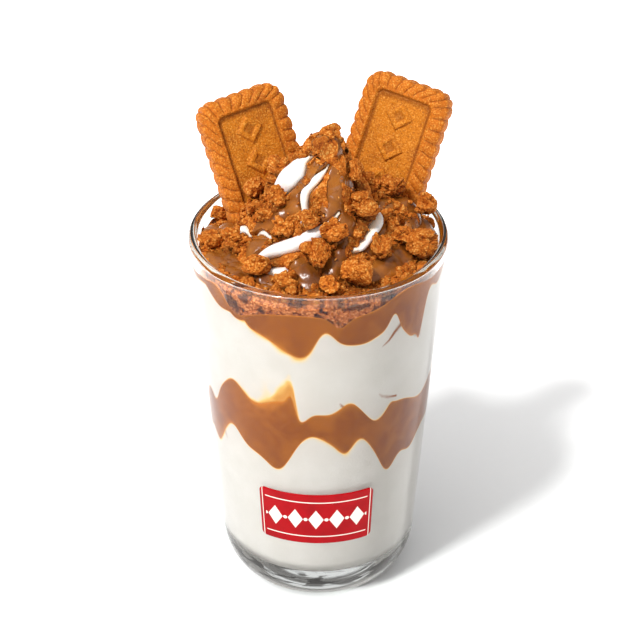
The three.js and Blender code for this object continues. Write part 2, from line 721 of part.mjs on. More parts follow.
// Layers, from the floor of the glass up.
addPiece("lower_ice_cream", lowerIceCreamGeometry(), ICE_CREAM_LOOK);
const middleFoot = faceRings(middleSauceFoot, MIDDLE_SAUCE_FOOT.inside, GAP / 2);
const middleTop = faceRings(middleSauceTop, MIDDLE_SAUCE_TOP.inside, -GAP / 2);
addPiece("middle_sauce", layerGeometry(middleFoot, middleTop), SAUCE_LOOK);

const upperFoot = faceRings(middleSauceTop, MIDDLE_SAUCE_TOP.inside, GAP / 2);
const upperTop = faceRings(topSauceFoot, TOP_SAUCE_FOOT.inside, -GAP / 2);
const upperIceCream = withSockets(toSolid(layerGeometry(upperFoot, upperTop)));
addPiece("upper_ice_cream", toGeometry(upperIceCream), ICE_CREAM_LOOK);

const sauceFoot = faceRings(topSauceFoot, TOP_SAUCE_FOOT.inside, GAP / 2);
const sauceTop = faceRings(crumbFoot, CRUMB_FOOT.inside, -GAP / 2);
const topSauce = withSockets(toSolid(layerGeometry(sauceFoot, sauceTop)));
addPiece("top_sauce", toGeometry(topSauce), SAUCE_LOOK);

// Where each chunk lies. The first one is the cluster on the peak.
const chunks = CHUNKS.map((chunk) => {
  const size = chunk[2];
  const plane = restingPlane(chunk);
  const centre = plane.point.clone().addScaledVector(plane.normal, size * (0.5 - CHUNK_SUNK));
  return { size, centre, foot: toSolid(blockUnder(plane, size)) };
});
const peakHeight = swirlHeight(0, 0);
const peakX = peakShift(peakHeight) + PEAK_CHUNK.right;
const peakCentre = new THREE.Vector3(peakX, 0, peakHeight + PEAK_CHUNK.up);
chunks.unshift({ size: PEAK_CHUNK.size, centre: peakCentre, foot: null });

const chunkRandom = seededRandom(41);
for (const chunk of chunks) {
  const { size, centre } = chunk;
  const lump = lumpGeometry(size, 1, chunkRandom);
  const swell = 1 + (2.4 * GAP) / size;
  chunk.lump = toSolid(lump.clone().translate(centre.x, centre.y, centre.z));
  chunk.grown = toSolid(lump.clone().scale(swell, swell, swell).translate(centre.x, centre.y, centre.z));
}

/** True where a small crumb stays clear of every chunk. */
function clearOfChunks(centre, size) {
  return chunks.every((chunk) => centre.distanceTo(chunk.centre) > (1.3 * chunk.size + size) / 2 + GAP);
}

/** Seeded scatter of small crumbs round the swirl, turned by the golden angle each time. */
function scatteredCrumbs() {
  const { count, turn, inner, across, smallest, largest, seed } = SCATTER;
  const random = seededRandom(seed);
  return Array.from({ length: count }, (_, i) => {
    const place = polar(i * turn + 20 * random(), inner + across * Math.sqrt(random()), 0);
    return [place.x, place.y, smallest + (largest - smallest) * random()];
  });
}

// Room inside the glass's wall, carried on above the rim.
const room = toSolid(
  solidThroughRings([
    [new THREE.Vector3(0, 0, ROOM.low)],
    ringOf(WALL_POINTS, (angle) => polar(angle, fillRadius(ROOM.low), ROOM.low)),
    ringOf(WALL_POINTS, (angle) => polar(angle, fillRadius(ROOM.high), ROOM.high)),
    [new THREE.Vector3(0, 0, ROOM.high)],
  ]),
);
const underSwirl = toSolid(layerGeometry(faceRings(() => ROOM.low, ROOM.low, 0), crumbTopRings(GAP)));

// Swirl and crumb layer, each with its small crumbs fused on.
let swirl = toSolid(swirlBlock());
const crumbRings = faceRings(crumbFoot, CRUMB_FOOT.inside, GAP / 2);
let crumbLayer = toSolid(layerGeometry(crumbRings, crumbTopRings(0)));
const crumbRandom = seededRandom(23);
for (const crumb of [...SMALL_CRUMBS, ...scatteredCrumbs()]) {
  const [x, y, size] = crumb;
  const centre = crumbCentre(crumb);
  const lump = toSolid(lumpGeometry(size, 0, crumbRandom).translate(centre.x, centre.y, centre.z));
  const pastEdge = Math.hypot(x, y) - swirlEdge(angleOf(x, y));
  if (Math.abs(pastEdge) < size / 2 + GAP || !clearOfChunks(centre, size)) continue;
  if (pastEdge < 0) swirl = swirl.add(lump);
  else crumbLayer = crumbLayer.add(lump.intersect(room));
}
swirl = largestPiece(withSockets(swirl.subtract(underSwirl).subtract(chunks[0].grown)));
crumbLayer = largestPiece(withSockets(crumbLayer));
addPiece("crumb_layer", toGeometry(crumbLayer), CRUMB_LOOK);
addPiece("swirl", toGeometry(swirl), ICE_CREAM_LOOK);

// Chunks, each flat where it lies and cut clear of the biscuits and of the chunks before it.
chunks.forEach(({ lump, foot }, i) => {
  let chunk = withSockets(lump.intersect(room));
  if (foot) chunk = chunk.subtract(foot);
  for (const other of chunks.slice(0, i)) chunk = chunk.subtract(other.grown);
  addPiece(`chunk_${String(i).padStart(2, "0")}`, toGeometry(largestPiece(chunk)), CRUMB_LOOK);
});

export default dessert;
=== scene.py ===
"""A blended ice cream dessert in a conical glass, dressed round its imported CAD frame.

Lengths are in millimetres until a mesh is made, and in metres in Blender. Angles round the glass are
in degrees: 0 at the front (-Y) and 90 at the right (+X).
"""

import sys

import logging
from dataclasses import dataclass, field
from enum import Enum
from functools import cache, reduce
from itertools import product

import bpy
import numpy as np
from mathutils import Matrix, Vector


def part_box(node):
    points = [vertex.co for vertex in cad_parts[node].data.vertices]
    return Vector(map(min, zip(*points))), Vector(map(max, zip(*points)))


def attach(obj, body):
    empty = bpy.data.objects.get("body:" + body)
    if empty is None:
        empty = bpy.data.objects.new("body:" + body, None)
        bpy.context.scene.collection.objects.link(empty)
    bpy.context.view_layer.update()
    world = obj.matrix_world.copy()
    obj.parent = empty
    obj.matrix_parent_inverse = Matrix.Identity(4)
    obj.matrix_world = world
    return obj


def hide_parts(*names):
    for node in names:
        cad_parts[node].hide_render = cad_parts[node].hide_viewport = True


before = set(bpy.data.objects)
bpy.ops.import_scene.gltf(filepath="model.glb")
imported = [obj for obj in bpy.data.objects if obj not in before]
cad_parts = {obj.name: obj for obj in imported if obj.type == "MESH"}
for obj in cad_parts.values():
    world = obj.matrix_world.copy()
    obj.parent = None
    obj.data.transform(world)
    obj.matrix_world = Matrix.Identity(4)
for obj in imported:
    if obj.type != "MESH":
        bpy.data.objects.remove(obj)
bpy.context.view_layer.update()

MM = 0.001
RIM = 138.0
INTO_WALL = 0.2
BED_DEPTH = 9.5
LOG = logging.getLogger("dessert")


class Slot(Enum):
    """The record's material slots."""

    GLASS = "clear_glass"
    PANEL = "printed_panel"
    ICE_CREAM = "ice_cream"
    SAUCE = "caramel_sauce"
    CRUMB = "biscuit_crumb"
    BISCUIT = "biscuit"


# ---------------------------------------------------------------- numbers


def smoothstep(x: np.ndarray, low: float, high: float) -> np.ndarray:
    """Rises smoothly from 0 at low to 1 at high: 3t^2 - 2t^3 of the share t between them."""
    t = np.clip((x - low) / (high - low), 0, 1)
    return t * t * (3 - 2 * t)


def smooth_greater(a: np.ndarray, b: np.ndarray, blend: float) -> np.ndarray:
    """The greater of a and b, with a round fillet where they differ by less than blend."""
    share = np.clip(0.5 + (a - b) / (2 * blend), 0, 1)
    return b + (a - b) * share + blend * share * (1 - share)


def turn_between(a: np.ndarray, b: float) -> np.ndarray:
    """Signed difference of two angles, from -180 to 180 degrees."""
    return (a - b + 180) % 360 - 180


def bell(x: np.ndarray, half_width: float) -> np.ndarray:
    """Bell curve exp(-(x / half_width)^2)."""
    return np.exp(-((x / half_width) ** 2))


def polar(angle: np.ndarray, radius: np.ndarray, z: np.ndarray) -> np.ndarray:
    """Points at angles round the glass: (r sin a, -r cos a, z)."""
    a = np.radians(angle)
    x, y, z = np.broadcast_arrays(radius * np.sin(a), -radius * np.cos(a), z)
    return np.stack([x, y, z], -1)


def drawn_in(points: np.ndarray, share: np.ndarray) -> np.ndarray:
    """Points at a share of their distance from the axis: (share x, share y, z)."""
    return points * np.stack([share, share, np.ones_like(share)], -1)


def angle_of(x: np.ndarray, y: np.ndarray) -> np.ndarray:
    """Angle round the glass of points, from -180 to 180 degrees."""
    return np.degrees(np.arctan2(x, -y))


def lattice(cell: np.ndarray, seed: int) -> np.ndarray:
    """A random number from 0 to 1 for each whole-number cell, its coordinates mixed by multiply and xor.

    Args:
        cell: whole numbers of shape (..., 3).
        seed: picks the set of numbers.

    Returns:
        Numbers of shape (...).
    """
    h = cell[..., 0] * 374761393 + cell[..., 1] * 668265263 + cell[..., 2] * 1440662683 + seed * 97531
    h = h & 0xFFFFFFFF
    h = ((h ^ (h >> 13)) * 1274126177) & 0xFFFFFFFF
    return ((h ^ (h >> 16)) & 0xFFFFFF) / 0xFFFFFF


def soft_noise(points: np.ndarray, cell: float, seed: int, octaves: int = 1) -> np.ndarray:
    """Noise from -1 to 1: random corner values of a grid of cells, blended smoothly across each cell.

    Args:
        points: positions of shape (..., 3).
        cell: size of the largest cells. Each further octave halves the cells and the strength.
        seed: picks the random numbers.
        octaves: how many sizes of cell are summed.

    Returns:
        The noise at each point.
    """
    total = np.zeros(points.shape[:-1])
    strength = 1.0
    for octave in range(octaves):
        q = points / (cell / 2**octave)
        low = np.floor(q).astype(np.int64)
        f = q - low
        f = f * f * (3 - 2 * f)
        for corner in product((0, 1), repeat=3):
            weight = np.prod(np.where(corner, f, 1 - f), axis=-1)
            total += strength * weight * (2 * lattice(low + corner, seed + octave) - 1)
        strength /= 2
    return total


def grains(points: np.ndarray, cell: float, seed: int) -> np.ndarray:
    """Packed round grains, 1 at the middle of a grain and 0 in the cracks between them.

    Each cell holds one random point, and the height is that of a half ball round the nearest.

    Args:
        points: positions of shape (..., 3).
        cell: usual size of a grain.
        seed: picks the random points.

    Returns:
        Height from 0 to 1 at each point.
    """
    q = points / cell
    low = np.floor(q).astype(np.int64)
    nearest = np.full(points.shape[:-1], 9.0)
    for step in product((-1, 0, 1), repeat=3):
        near = low + step
        centre = near + np.stack([lattice(near, seed + k) for k in (0, 31, 62)], -1)
        nearest = np.minimum(nearest, ((q - centre) ** 2).sum(-1))
    return np.sqrt(np.clip(1 - nearest / 0.75, 0, 1))


def near_path(points: np.ndarray, path: np.ndarray) -> tuple[np.ndarray, np.ndarray]:
    """Distance of points from a path of straight stretches, and how far along it they are.

    Args:
        points: positions of shape (..., n).
        path: corners of the path, of shape (m, n).

    Returns:
        The distance, and the share of the path from 0 to 1, at each point.
    """
    best = np.full(points.shape[:-1], 1e9)
    share = np.zeros(points.shape[:-1])
    for i, (a, b) in enumerate(zip(path[:-1], path[1:])):
        t = np.clip(((points - a) @ (b - a)) / ((b - a) @ (b - a)), 0, 1)
        away = np.linalg.norm(points - a - t[..., None] * (b - a), axis=-1)
        share = np.where(away < best, (i + t) / (len(path) - 1), share)
        best = np.minimum(best, away)
    return best, share


def curved(path: tuple, steps: int = 5) -> np.ndarray:
    """A path made round: Catmull-Rom curves through its points, each cut into steps.

    Args:
        path: points of the path.
        steps: how many stretches replace each of its own.

    Returns:
        Points of shape (count, coordinates).
    """
    p = np.array(path, float)
    p = np.concatenate([[2 * p[0] - p[1]], p, [2 * p[-1] - p[-2]]])
    t = (np.arange(steps) / steps)[:, None]
    rows = [
        b + 0.5 * t * (c - a) + t**2 * (a - 2.5 * b + 2 * c - 0.5 * d) + t**3 * 0.5 * (d - a + 3 * (b - c))
        for a, b, c, d in zip(p, p[1:], p[2:], p[3:])
    ]
    return np.concatenate([*rows, p[-2:-1]])


# ---------------------------------------------------------------- meshes


def placed(name: str, data: bpy.types.ID) -> bpy.types.Object:
    """A new object in the scene, at the origin and unturned."""
    thing = bpy.data.objects.new(name, data)
    bpy.context.scene.collection.objects.link(thing)
    return thing


@dataclass
class Surface:
    """Points in millimetres, the faces between them and a value for each point under each name."""

    points: np.ndarray
    quads: np.ndarray
    triangles: np.ndarray = field(default_factory=lambda: np.zeros((0, 3), int))
    values: dict = field(default_factory=dict)

    def make(self, name: str, slot: Slot, replaces: tuple = (), at_glass: bool = False) -> bpy.types.Object:
        """Makes the Blender piece, in metres, riding on the dessert.

        Args:
            name: name of the piece.
            slot: the record's slot whose finish it takes.
            replaces: CAD nodes that it stands for.
            at_glass: whether the glass wets it, so that it has no highlights of its own, and takes the
                wetted copy of its finish, painted darker for ice cream and crumb.

        Returns:
            The piece.
        """
        mesh = bpy.data.meshes.new(name)
        loops = np.concatenate([self.quads.ravel(), self.triangles.ravel()]).astype(np.int32)
        four, three = len(self.quads), len(self.triangles)
        starts = np.concatenate([np.arange(four) * 4, four * 4 + np.arange(three) * 3])
        mesh.vertices.add(len(self.points))
        mesh.vertices.foreach_set("co", (self.points * MM).astype(np.float32).ravel())
        mesh.loops.add(len(loops))
        mesh.polygons.add(four + three)
        mesh.polygons.foreach_set("loop_start", starts.astype(np.int32))
        mesh.polygons.foreach_set("vertices", loops)
        mesh.polygons.foreach_set("use_smooth", np.ones(four + three, bool))
        for key, value in self.values.items():
            layer = mesh.attributes.new(key, "FLOAT", "POINT")
            layer.data.foreach_set("value", np.asarray(value, np.float32).ravel())
        mesh.update(calc_edges=True)
        mesh.validate()
        mesh.materials.append(finish_of(slot, at_glass))
        piece = placed(name, mesh)
        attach(piece, "root")
        if replaces:
            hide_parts(*replaces)
        LOG.info("%s: %d triangles", name, 2 * four + three)
        return piece


def ring_stack(rings: np.ndarray, first: np.ndarray, last: np.ndarray, values: dict) -> Surface:
    """Closed surface through a stack of rings, with a point that closes it at either end.

    Each ring runs anticlockwise seen from above and the rings go from the bottom's middle out, up and in.

    Args:
        rings: points of shape (rings, columns, 3).
        first: the point before the first ring.
        last: the point after the last ring.
        values: arrays of shape (rings, columns), kept as the points' values.

    Returns:
        The surface, its faces outwards.
    """
    rows, columns = rings.shape[:2]
    here = np.arange(columns)
    after = (here + 1) % columns
    row = 1 + np.arange(rows - 1)[:, None] * columns
    quads = np.stack([row + here, row + after, row + columns + after, row + columns + here], -1)
    top = 1 + (rows - 1) * columns
    end = np.full(columns, rows * columns + 1)
    triangles = np.concatenate([
        np.stack([np.zeros(columns, int), 1 + after, 1 + here], -1),
        np.stack([top + here, top + after, end], -1),
    ])
    points = np.concatenate([[first], rings.reshape(-1, 3), [last]])
    kept = {key: np.concatenate([[v[0, 0]], v.ravel(), [v[-1, 0]]]) for key, v in values.items()}
    return Surface(points, quads.reshape(-1, 4), triangles, kept)


def unit_ball(across: int) -> Surface:
    """Ball of radius 1: the six sides of a cube as square grids, each point moved out to the ball.

    Args:
        across: squares along each side of a grid.

    Returns:
        The ball, its shared edges merged.
    """
    t = np.tan(np.linspace(-1, 1, across + 1) * np.pi / 4)
    u, v = np.meshgrid(t, t, indexing="ij")
    one = np.ones_like(u)
    sides = []
    for axis in range(3):
        for sign in (1, -1):
            grid = np.stack([one * sign, u * sign, v], -1)
            sides.append(np.roll(grid, axis, axis=-1))
    points = np.concatenate([side.reshape(-1, 3) for side in sides])
    points /= np.linalg.norm(points, axis=1)[:, None]
    i, j = np.meshgrid(np.arange(across), np.arange(across), indexing="ij")
    at = (i * (across + 1) + j).ravel()
    one_side = np.stack([at, at + across + 1, at + across + 2, at + 1], -1)
    quads = np.concatenate([one_side + k * (across + 1) ** 2 for k in range(6)])
    _, chosen, index = np.unique(np.round(points, 6), axis=0, return_index=True, return_inverse=True)
    return Surface(points[chosen], index.ravel()[quads])


# ---------------------------------------------------------------- finishes


def linear(red: int, green: int, blue: int) -> tuple:
    """A screen colour from 0 to 255 as the linear colour that Blender takes."""
    c = np.array([red, green, blue]) / 255
    return (*np.where(c <= 0.04045, c / 12.92, ((c + 0.055) / 1.055) ** 2.4), 1.0)


class Shader:
    """A material's node tree, with short ways to add nodes and join them."""

    def __init__(self, name: str) -> None:
        """Starts an empty tree with its output."""
        self.material = bpy.data.materials.new(name)
        self.material.use_nodes = True
        self.tree = self.material.node_tree
        self.tree.nodes.clear()
        self.output = self.add("ShaderNodeOutputMaterial")
        self.place = self.add("ShaderNodeTexCoord").outputs["Object"]

    def add(self, kind: str, **settings: object) -> bpy.types.Node:
        """A new node with its settings."""
        node = self.tree.nodes.new(kind)
        for key, value in settings.items():
            setattr(node, key, value)
        return node

    def feed(self, socket: bpy.types.NodeSocket, source: object) -> None:
        """Joins an output to a socket, or sets the socket to a plain value."""
        if isinstance(source, bpy.types.NodeSocket):
            self.tree.links.new(source, socket)
        else:
            socket.default_value = source

    def principled(self, **sockets: object) -> bpy.types.Node:
        """A Principled node, shown, with the named sockets fed; an underscore stands for a space."""
        node = self.add("ShaderNodeBsdfPrincipled")
        for key, value in sockets.items():
            self.feed(node.inputs[key.replace("_", " ")], value)
        self.feed(self.output.inputs["Surface"], node.outputs[0])
        return node

    def noise(
        self, size: float, detail: float = 3.0, distortion: float = 0.0, place: object = None
    ) -> bpy.types.NodeSocket:
        """Noise whose blotches are about size millimetres across, at the plain or another place."""
        node = self.add("ShaderNodeTexNoise")
        self.feed(node.inputs["Vector"], place or self.place)
        self.feed(node.inputs["Scale"], 1 / (size * MM))
        self.feed(node.inputs["Detail"], detail)
        self.feed(node.inputs["Distortion"], distortion)
        return node.outputs["Fac"]

    def cells(self, size: float) -> bpy.types.NodeSocket:
        """Distance to the nearest of scattered points about size millimetres apart."""
        node = self.add("ShaderNodeTexVoronoi")
        self.feed(node.inputs["Vector"], self.place)
        self.feed(node.inputs["Scale"], 1 / (size * MM))
        return node.outputs["Distance"]

    def attribute(self, name: str) -> bpy.types.NodeSocket:
        """A value kept on the piece's points."""
        return self.add("ShaderNodeAttribute", attribute_name=name).outputs["Fac"]

    def ramp(self, value: bpy.types.NodeSocket, stops: list) -> bpy.types.NodeSocket:
        """Colour of a value, from stops of (place, colour)."""
        node = self.add("ShaderNodeValToRGB")
        elements = node.color_ramp.elements
        while len(elements) < len(stops):
            elements.new(0.5)
        for element, (place, colour) in zip(elements, stops):
            element.position = place
            element.color = colour
        self.feed(node.inputs["Fac"], value)
        return node.outputs["Color"]

    def mix(self, share: object, a: object, b: object) -> bpy.types.NodeSocket:
        """Colour a where share is 0 and b where it is 1."""
        node = self.add("ShaderNodeMix", data_type="RGBA")
        self.feed(node.inputs[0], share)
        self.feed(node.inputs[6], a)
        self.feed(node.inputs[7], b)
        return node.outputs[2]

    def math(self, operation: str, a: object, b: object = 0.0, clamp: bool = False) -> bpy.types.NodeSocket:
        """A Math node's result."""
        node = self.add("ShaderNodeMath", operation=operation, use_clamp=clamp)
        self.feed(node.inputs[0], a)
        self.feed(node.inputs[1], b)
        return node.outputs[0]

    def times(self, first: object, *others: object) -> bpy.types.NodeSocket:
        """The product of values."""
        return reduce(lambda a, b: self.math("MULTIPLY", a, b), others, first)

    def greatest(self, first: object, *others: object) -> bpy.types.NodeSocket:
        """The greatest of values."""
        return reduce(lambda a, b: self.math("MAXIMUM", a, b), others, first)

    def between(self, value: object, low: float, high: float) -> bpy.types.NodeSocket:
        """0 where a value is low and 1 where it is high, straight between; low may be the greater."""
        node = self.add("ShaderNodeMapRange")
        self.feed(node.inputs["Value"], value)
        self.feed(node.inputs["From Min"], low)
        self.feed(node.inputs["From Max"], high)
        return node.outputs["Result"]

    def bump(self, height: object, depth: float, under: object = None) -> bpy.types.NodeSocket:
        """A bumped normal; height from 0 to 1 stands for depth millimetres."""
        node = self.add("ShaderNodeBump")
        self.feed(node.inputs["Distance"], depth * MM)
        self.feed(node.inputs["Height"], height)
        if under is not None:
            self.feed(node.inputs["Normal"], under)
        return node.outputs["Normal"]


@dataclass(frozen=True)
class GlassFinish:
    """Clear glass, wiped a little unevenly, that lets lamps through, with painted dark refraction: streaks
    in its thick base and a darker foot.

    Each pair of heights, in millimetres, is where a streak's share is 0 and where it is 1.
    """

    tint: tuple = linear(249, 252, 250)
    shade: tuple = linear(247, 249, 248)
    dull: tuple = (0.5, 0.5, 0.5, 1.0)
    # painted dark refraction: the colour the thick base's streaks and its foot are painted, for dark
    # surroundings seen through the glass
    painted_refraction: tuple = linear(56, 54, 51)
    streak_size: float = 11.0
    streak_levels: tuple = (0.515, 0.47)
    streak_squash: tuple = (1, 1, 3.5)
    streak_place: tuple = (0.047, 0.021, 0.033)
    streak_top: tuple = (18.0, 15.8)
    streak_foot: tuple = (8.4, 9.6)
    # heights below which the foot is painted darker, a painted dark refraction, and how strongly
    foot_shade_top: tuple = (5.0, 4.2)
    foot_shade_share: float = 0.7

    def material(self) -> bpy.types.Material:
        """The material."""
        s = Shader("wiped_glass")
        wiped = s.noise(9, 4, 0.6)
        split = s.add("ShaderNodeSeparateXYZ")
        s.feed(split.inputs[0], s.place)
        height = s.math("DIVIDE", split.outputs["Z"], MM)
        flat = s.add("ShaderNodeVectorMath", operation="MULTIPLY_ADD")
        for socket, source in zip(flat.inputs, (s.place, self.streak_squash, self.streak_place)):
            s.feed(socket, source)
        # streaks of painted dark refraction across the thick base
        streaks = s.between(s.noise(self.streak_size, 3, 1.0, flat.outputs[0]), *self.streak_levels)
        deep = s.times(s.between(height, *self.streak_top), s.between(height, *self.streak_foot), streaks)
        # the foot painted darker: painted dark refraction
        foot = s.times(s.between(height, *self.foot_shade_top), self.foot_shade_share)
        glass = s.principled(
            Base_Color=s.mix(s.greatest(deep, foot), self.tint, self.painted_refraction),
            IOR=1.5,
            Transmission_Weight=1.0,
            Specular_Tint=self.dull,
        )
        s.feed(glass.inputs["Roughness"], s.between(wiped, -0.2, 22))
        s.feed(glass.inputs["Normal"], s.bump(s.noise(14, 1), 0.03))
        clear = s.add("ShaderNodeBsdfTransparent")
        s.feed(clear.inputs["Color"], self.shade)
        choice = s.add("ShaderNodeMixShader")
        s.feed(choice.inputs[0], s.add("ShaderNodeLightPath").outputs["Is Shadow Ray"])
        s.feed(choice.inputs[1], glass.outputs[0])
        s.feed(choice.inputs[2], clear.outputs[0])
        s.feed(s.output.inputs["Surface"], choice.outputs[0])
        return s.material


@dataclass(frozen=True)
class IceCreamFinish:
    """Soft white ice cream, yellow to amber where thin sauce soaks into it, brown where sauce smears it."""

    name: str = "soft_ice_cream"
    light: tuple = linear(248, 246, 242)
    dim: tuple = linear(243, 240, 234)
    soaked: tuple = linear(246, 206, 124)
    amber: tuple = linear(198, 118, 26)
    smear: tuple = linear(150, 84, 36)
    specular: float = 0.4
    scatter: float = 0.25

    def material(self) -> bpy.types.Material:
        """The material, which reads the values amber and smear."""
        s = Shader(self.name)
        plain = s.mix(s.between(s.noise(11, 3), 0.35, 0.65), self.light, self.dim)
        amber = s.attribute("amber")
        yellow = s.mix(s.between(amber, 0.0, 0.45), plain, self.soaked)
        soaked = s.mix(s.between(amber, 0.3, 1.0), yellow, self.amber)
        colour = s.mix(s.attribute("smear"), soaked, self.smear)
        fine = s.bump(s.noise(0.7, 3), 0.05)
        s.principled(
            Base_Color=colour,
            Roughness=s.between(s.noise(3, 2), -1.2, 2.2),
            Subsurface_Weight=self.scatter,
            Subsurface_Radius=(1.0, 0.85, 0.7),
            Subsurface_Scale=0.0012,
            Specular_IOR_Level=self.specular,
            Normal=s.bump(s.noise(4, 2), 0.15, fine),
        )
        return s.material


@dataclass(frozen=True)
class SauceFinish:
    """Glossy milk-caramel sauce, lighter and more orange where it is thin, with painted shade in the gaps
    beside chunks.
    """

    name: str = "glossy_sauce"
    light: tuple = linear(156, 94, 34)
    dark: tuple = linear(122, 66, 20)
    thin: tuple = linear(204, 122, 34)
    # colour of the painted shade in the gaps beside chunks
    deep: tuple = linear(70, 28, 6)
    specular: float = 0.36
    scatter: float = 0.05
    depth: float = 0.3

    def material(self) -> bpy.types.Material:
        """The material, which reads the value thin, and deep, painted shade that is 1 in the gaps beside
        chunks.
        """
        s = Shader(self.name)
        body = s.mix(s.between(s.noise(8, 2, 0.8), 0.35, 0.65), self.dark, self.light)
        colour = s.mix(s.attribute("deep"), s.mix(s.attribute("thin"), body, self.thin), self.deep)
        s.principled(
            Base_Color=colour,
            Roughness=s.between(s.noise(5, 3), -1.1, 5.0),
            Specular_IOR_Level=self.specular,
            Subsurface_Weight=self.scatter,
            Subsurface_Radius=(1.0, 0.5, 0.25),
            Subsurface_Scale=0.0015,
            Normal=s.bump(s.noise(3.2, 2), self.depth),
        )
        return s.material


@dataclass(frozen=True)
class CrumbFinish:
    """Rough broken biscuit: bright granules on an orange-brown body, with painted shade in the cracks and
    painted light on the grains' tops.
    """

    name: str = "rough_crumb"
    # crack: painted shade in the cracks, and the colour that painted shade darkens to
    crack: tuple = linear(44, 13, 3)
    body: tuple = linear(158, 76, 17)
    grain: tuple = linear(206, 116, 36)
    bright: tuple = linear(244, 178, 92)
    specular: float = 0.12

    def material(self) -> bpy.types.Material:
        """The material, which reads the values raised, 0 in a crack and 1 on a grain, which sets painted
        shade and painted light, and tone, a random darkening of its own with painted shade added, towards
        the crack colour.
        """
        s = Shader(self.name)
        granule = s.between(s.cells(0.95), 0.72, 0.12)
        fine = s.math("SUBTRACT", s.noise(0.5, 3), 0.5)
        level = s.math("ADD", s.times(s.attribute("raised"), 0.6), s.times(granule, 0.36))
        level = s.math("ADD", level, s.times(fine, 0.7), clamp=True)
        # from painted shade in the cracks to painted light on the grains' tops, mixed with the granules'
        # own speckle
        stops = [(0.08, self.crack), (0.34, self.body), (0.66, self.grain), (0.96, self.bright)]
        # painted shade, towards the crack colour
        colour = s.mix(s.times(s.attribute("tone_and_painted_shade"), 0.8), s.ramp(level, stops), self.crack)
        coarse = s.bump(granule, 0.3)
        s.principled(
            Base_Color=colour,
            Roughness=s.between(s.noise(1.5, 2), -1.4, 1.1),
            Specular_IOR_Level=self.specular,
            Normal=s.bump(s.noise(0.4, 3), 0.22, coarse),
        )
        return s.material


@dataclass(frozen=True)
class BiscuitFinish:
    """Baked biscuit: golden panel, browner rim, painted shade in the grooves, fine grains all over."""

    panel: tuple = linear(202, 118, 22)
    rim: tuple = linear(200, 108, 20)
    # painted shade in the grooves and recesses
    groove: tuple = linear(112, 46, 6)
    grain: tuple = linear(240, 168, 72)
    pit: tuple = linear(146, 70, 12)

    def material(self) -> bpy.types.Material:
        """The material, which reads the values rim, 1 on the border, and groove, where shade is painted."""
        s = Shader("baked_biscuit")
        base = s.mix(s.attribute("rim"), self.panel, self.rim)
        browned = s.mix(s.between(s.noise(7, 4), 0.5, 0.95), base, self.pit)
        pale = s.between(s.noise(0.55, 2), 0.5, 0.7)
        grainy = s.mix(s.times(pale, 0.75), browned, self.grain)
        pits = s.between(s.noise(0.62, 2), 0.47, 0.3)
        pitted = s.mix(s.times(pits, 0.7), grainy, self.pit)
        colour = s.mix(s.attribute("groove"), pitted, self.groove)
        coarse = s.bump(s.noise(1.1, 3), 0.14)
        s.principled(
            Base_Color=colour,
            Roughness=s.between(s.noise(2, 2), -1.2, 1.3),
            Specular_IOR_Level=0.2,
            Normal=s.bump(s.noise(0.5, 2), 0.3, coarse),
        )
        return s.material


@dataclass(frozen=True)
class PanelFinish:
    """Red print with a row of cream lozenges and dots, a line over and under it, and a bar at each end."""

    red: tuple = linear(176, 0, 14)
    deep: tuple = linear(158, 0, 12)
    cream: tuple = linear(250, 244, 232)
    pitch: float = 7.2
    lozenge: tuple = (2.7, 4.4)
    dot: float = 0.75
    row: float = 2.5
    line: tuple = (7.6, 8.1)
    bar: tuple = (0.935, 0.952)

    def material(self) -> bpy.types.Material:
        """The material, which reads the values along and up, in millimetres, and end, 1 at both ends.

        A lozenge is where |along|/a + |up|/b is under 1, with along folded back at each half pitch.
        """
        s = Shader("red_print")
        edge, bar_edge = 0.06, 0.003
        along = s.attribute("along")
        up = s.math("ABSOLUTE", s.attribute("up"))
        within = s.between(s.math("ABSOLUTE", along), self.row * self.pitch, self.row * self.pitch - edge)
        near = s.math("PINGPONG", along, self.pitch / 2)
        wide, high = self.lozenge
        span = s.math("ADD", s.math("DIVIDE", near, wide), s.math("DIVIDE", up, high))
        lozenge = s.between(span, 1, 1 - edge / wide)
        gap = s.math("PINGPONG", s.math("ADD", along, self.pitch / 2), self.pitch / 2)
        away = s.math("SQRT", s.math("ADD", s.times(gap, gap), s.times(up, up)))
        dot = s.between(away, self.dot, self.dot - edge)
        row = s.greatest(lozenge, dot)
        low, high = self.line
        line = s.times(s.between(up, low, low + edge), s.between(up, high, high - edge))
        end = s.attribute("end")
        first, last = self.bar
        bar = s.times(s.between(end, first, first + bar_edge), s.between(end, last, last - bar_edge))
        print_share = s.greatest(s.times(within, row), s.times(within, line), bar)
        field_colour = s.mix(s.between(s.noise(6, 2), 0.4, 0.7), self.red, self.deep)
        s.principled(
            Base_Color=s.mix(print_share, field_colour, self.cream),
            Roughness=s.between(s.noise(4, 3), -0.8, 2.2),
            Specular_IOR_Level=0.12,
            Normal=s.bump(print_share, 0.03),
        )
        return s.material


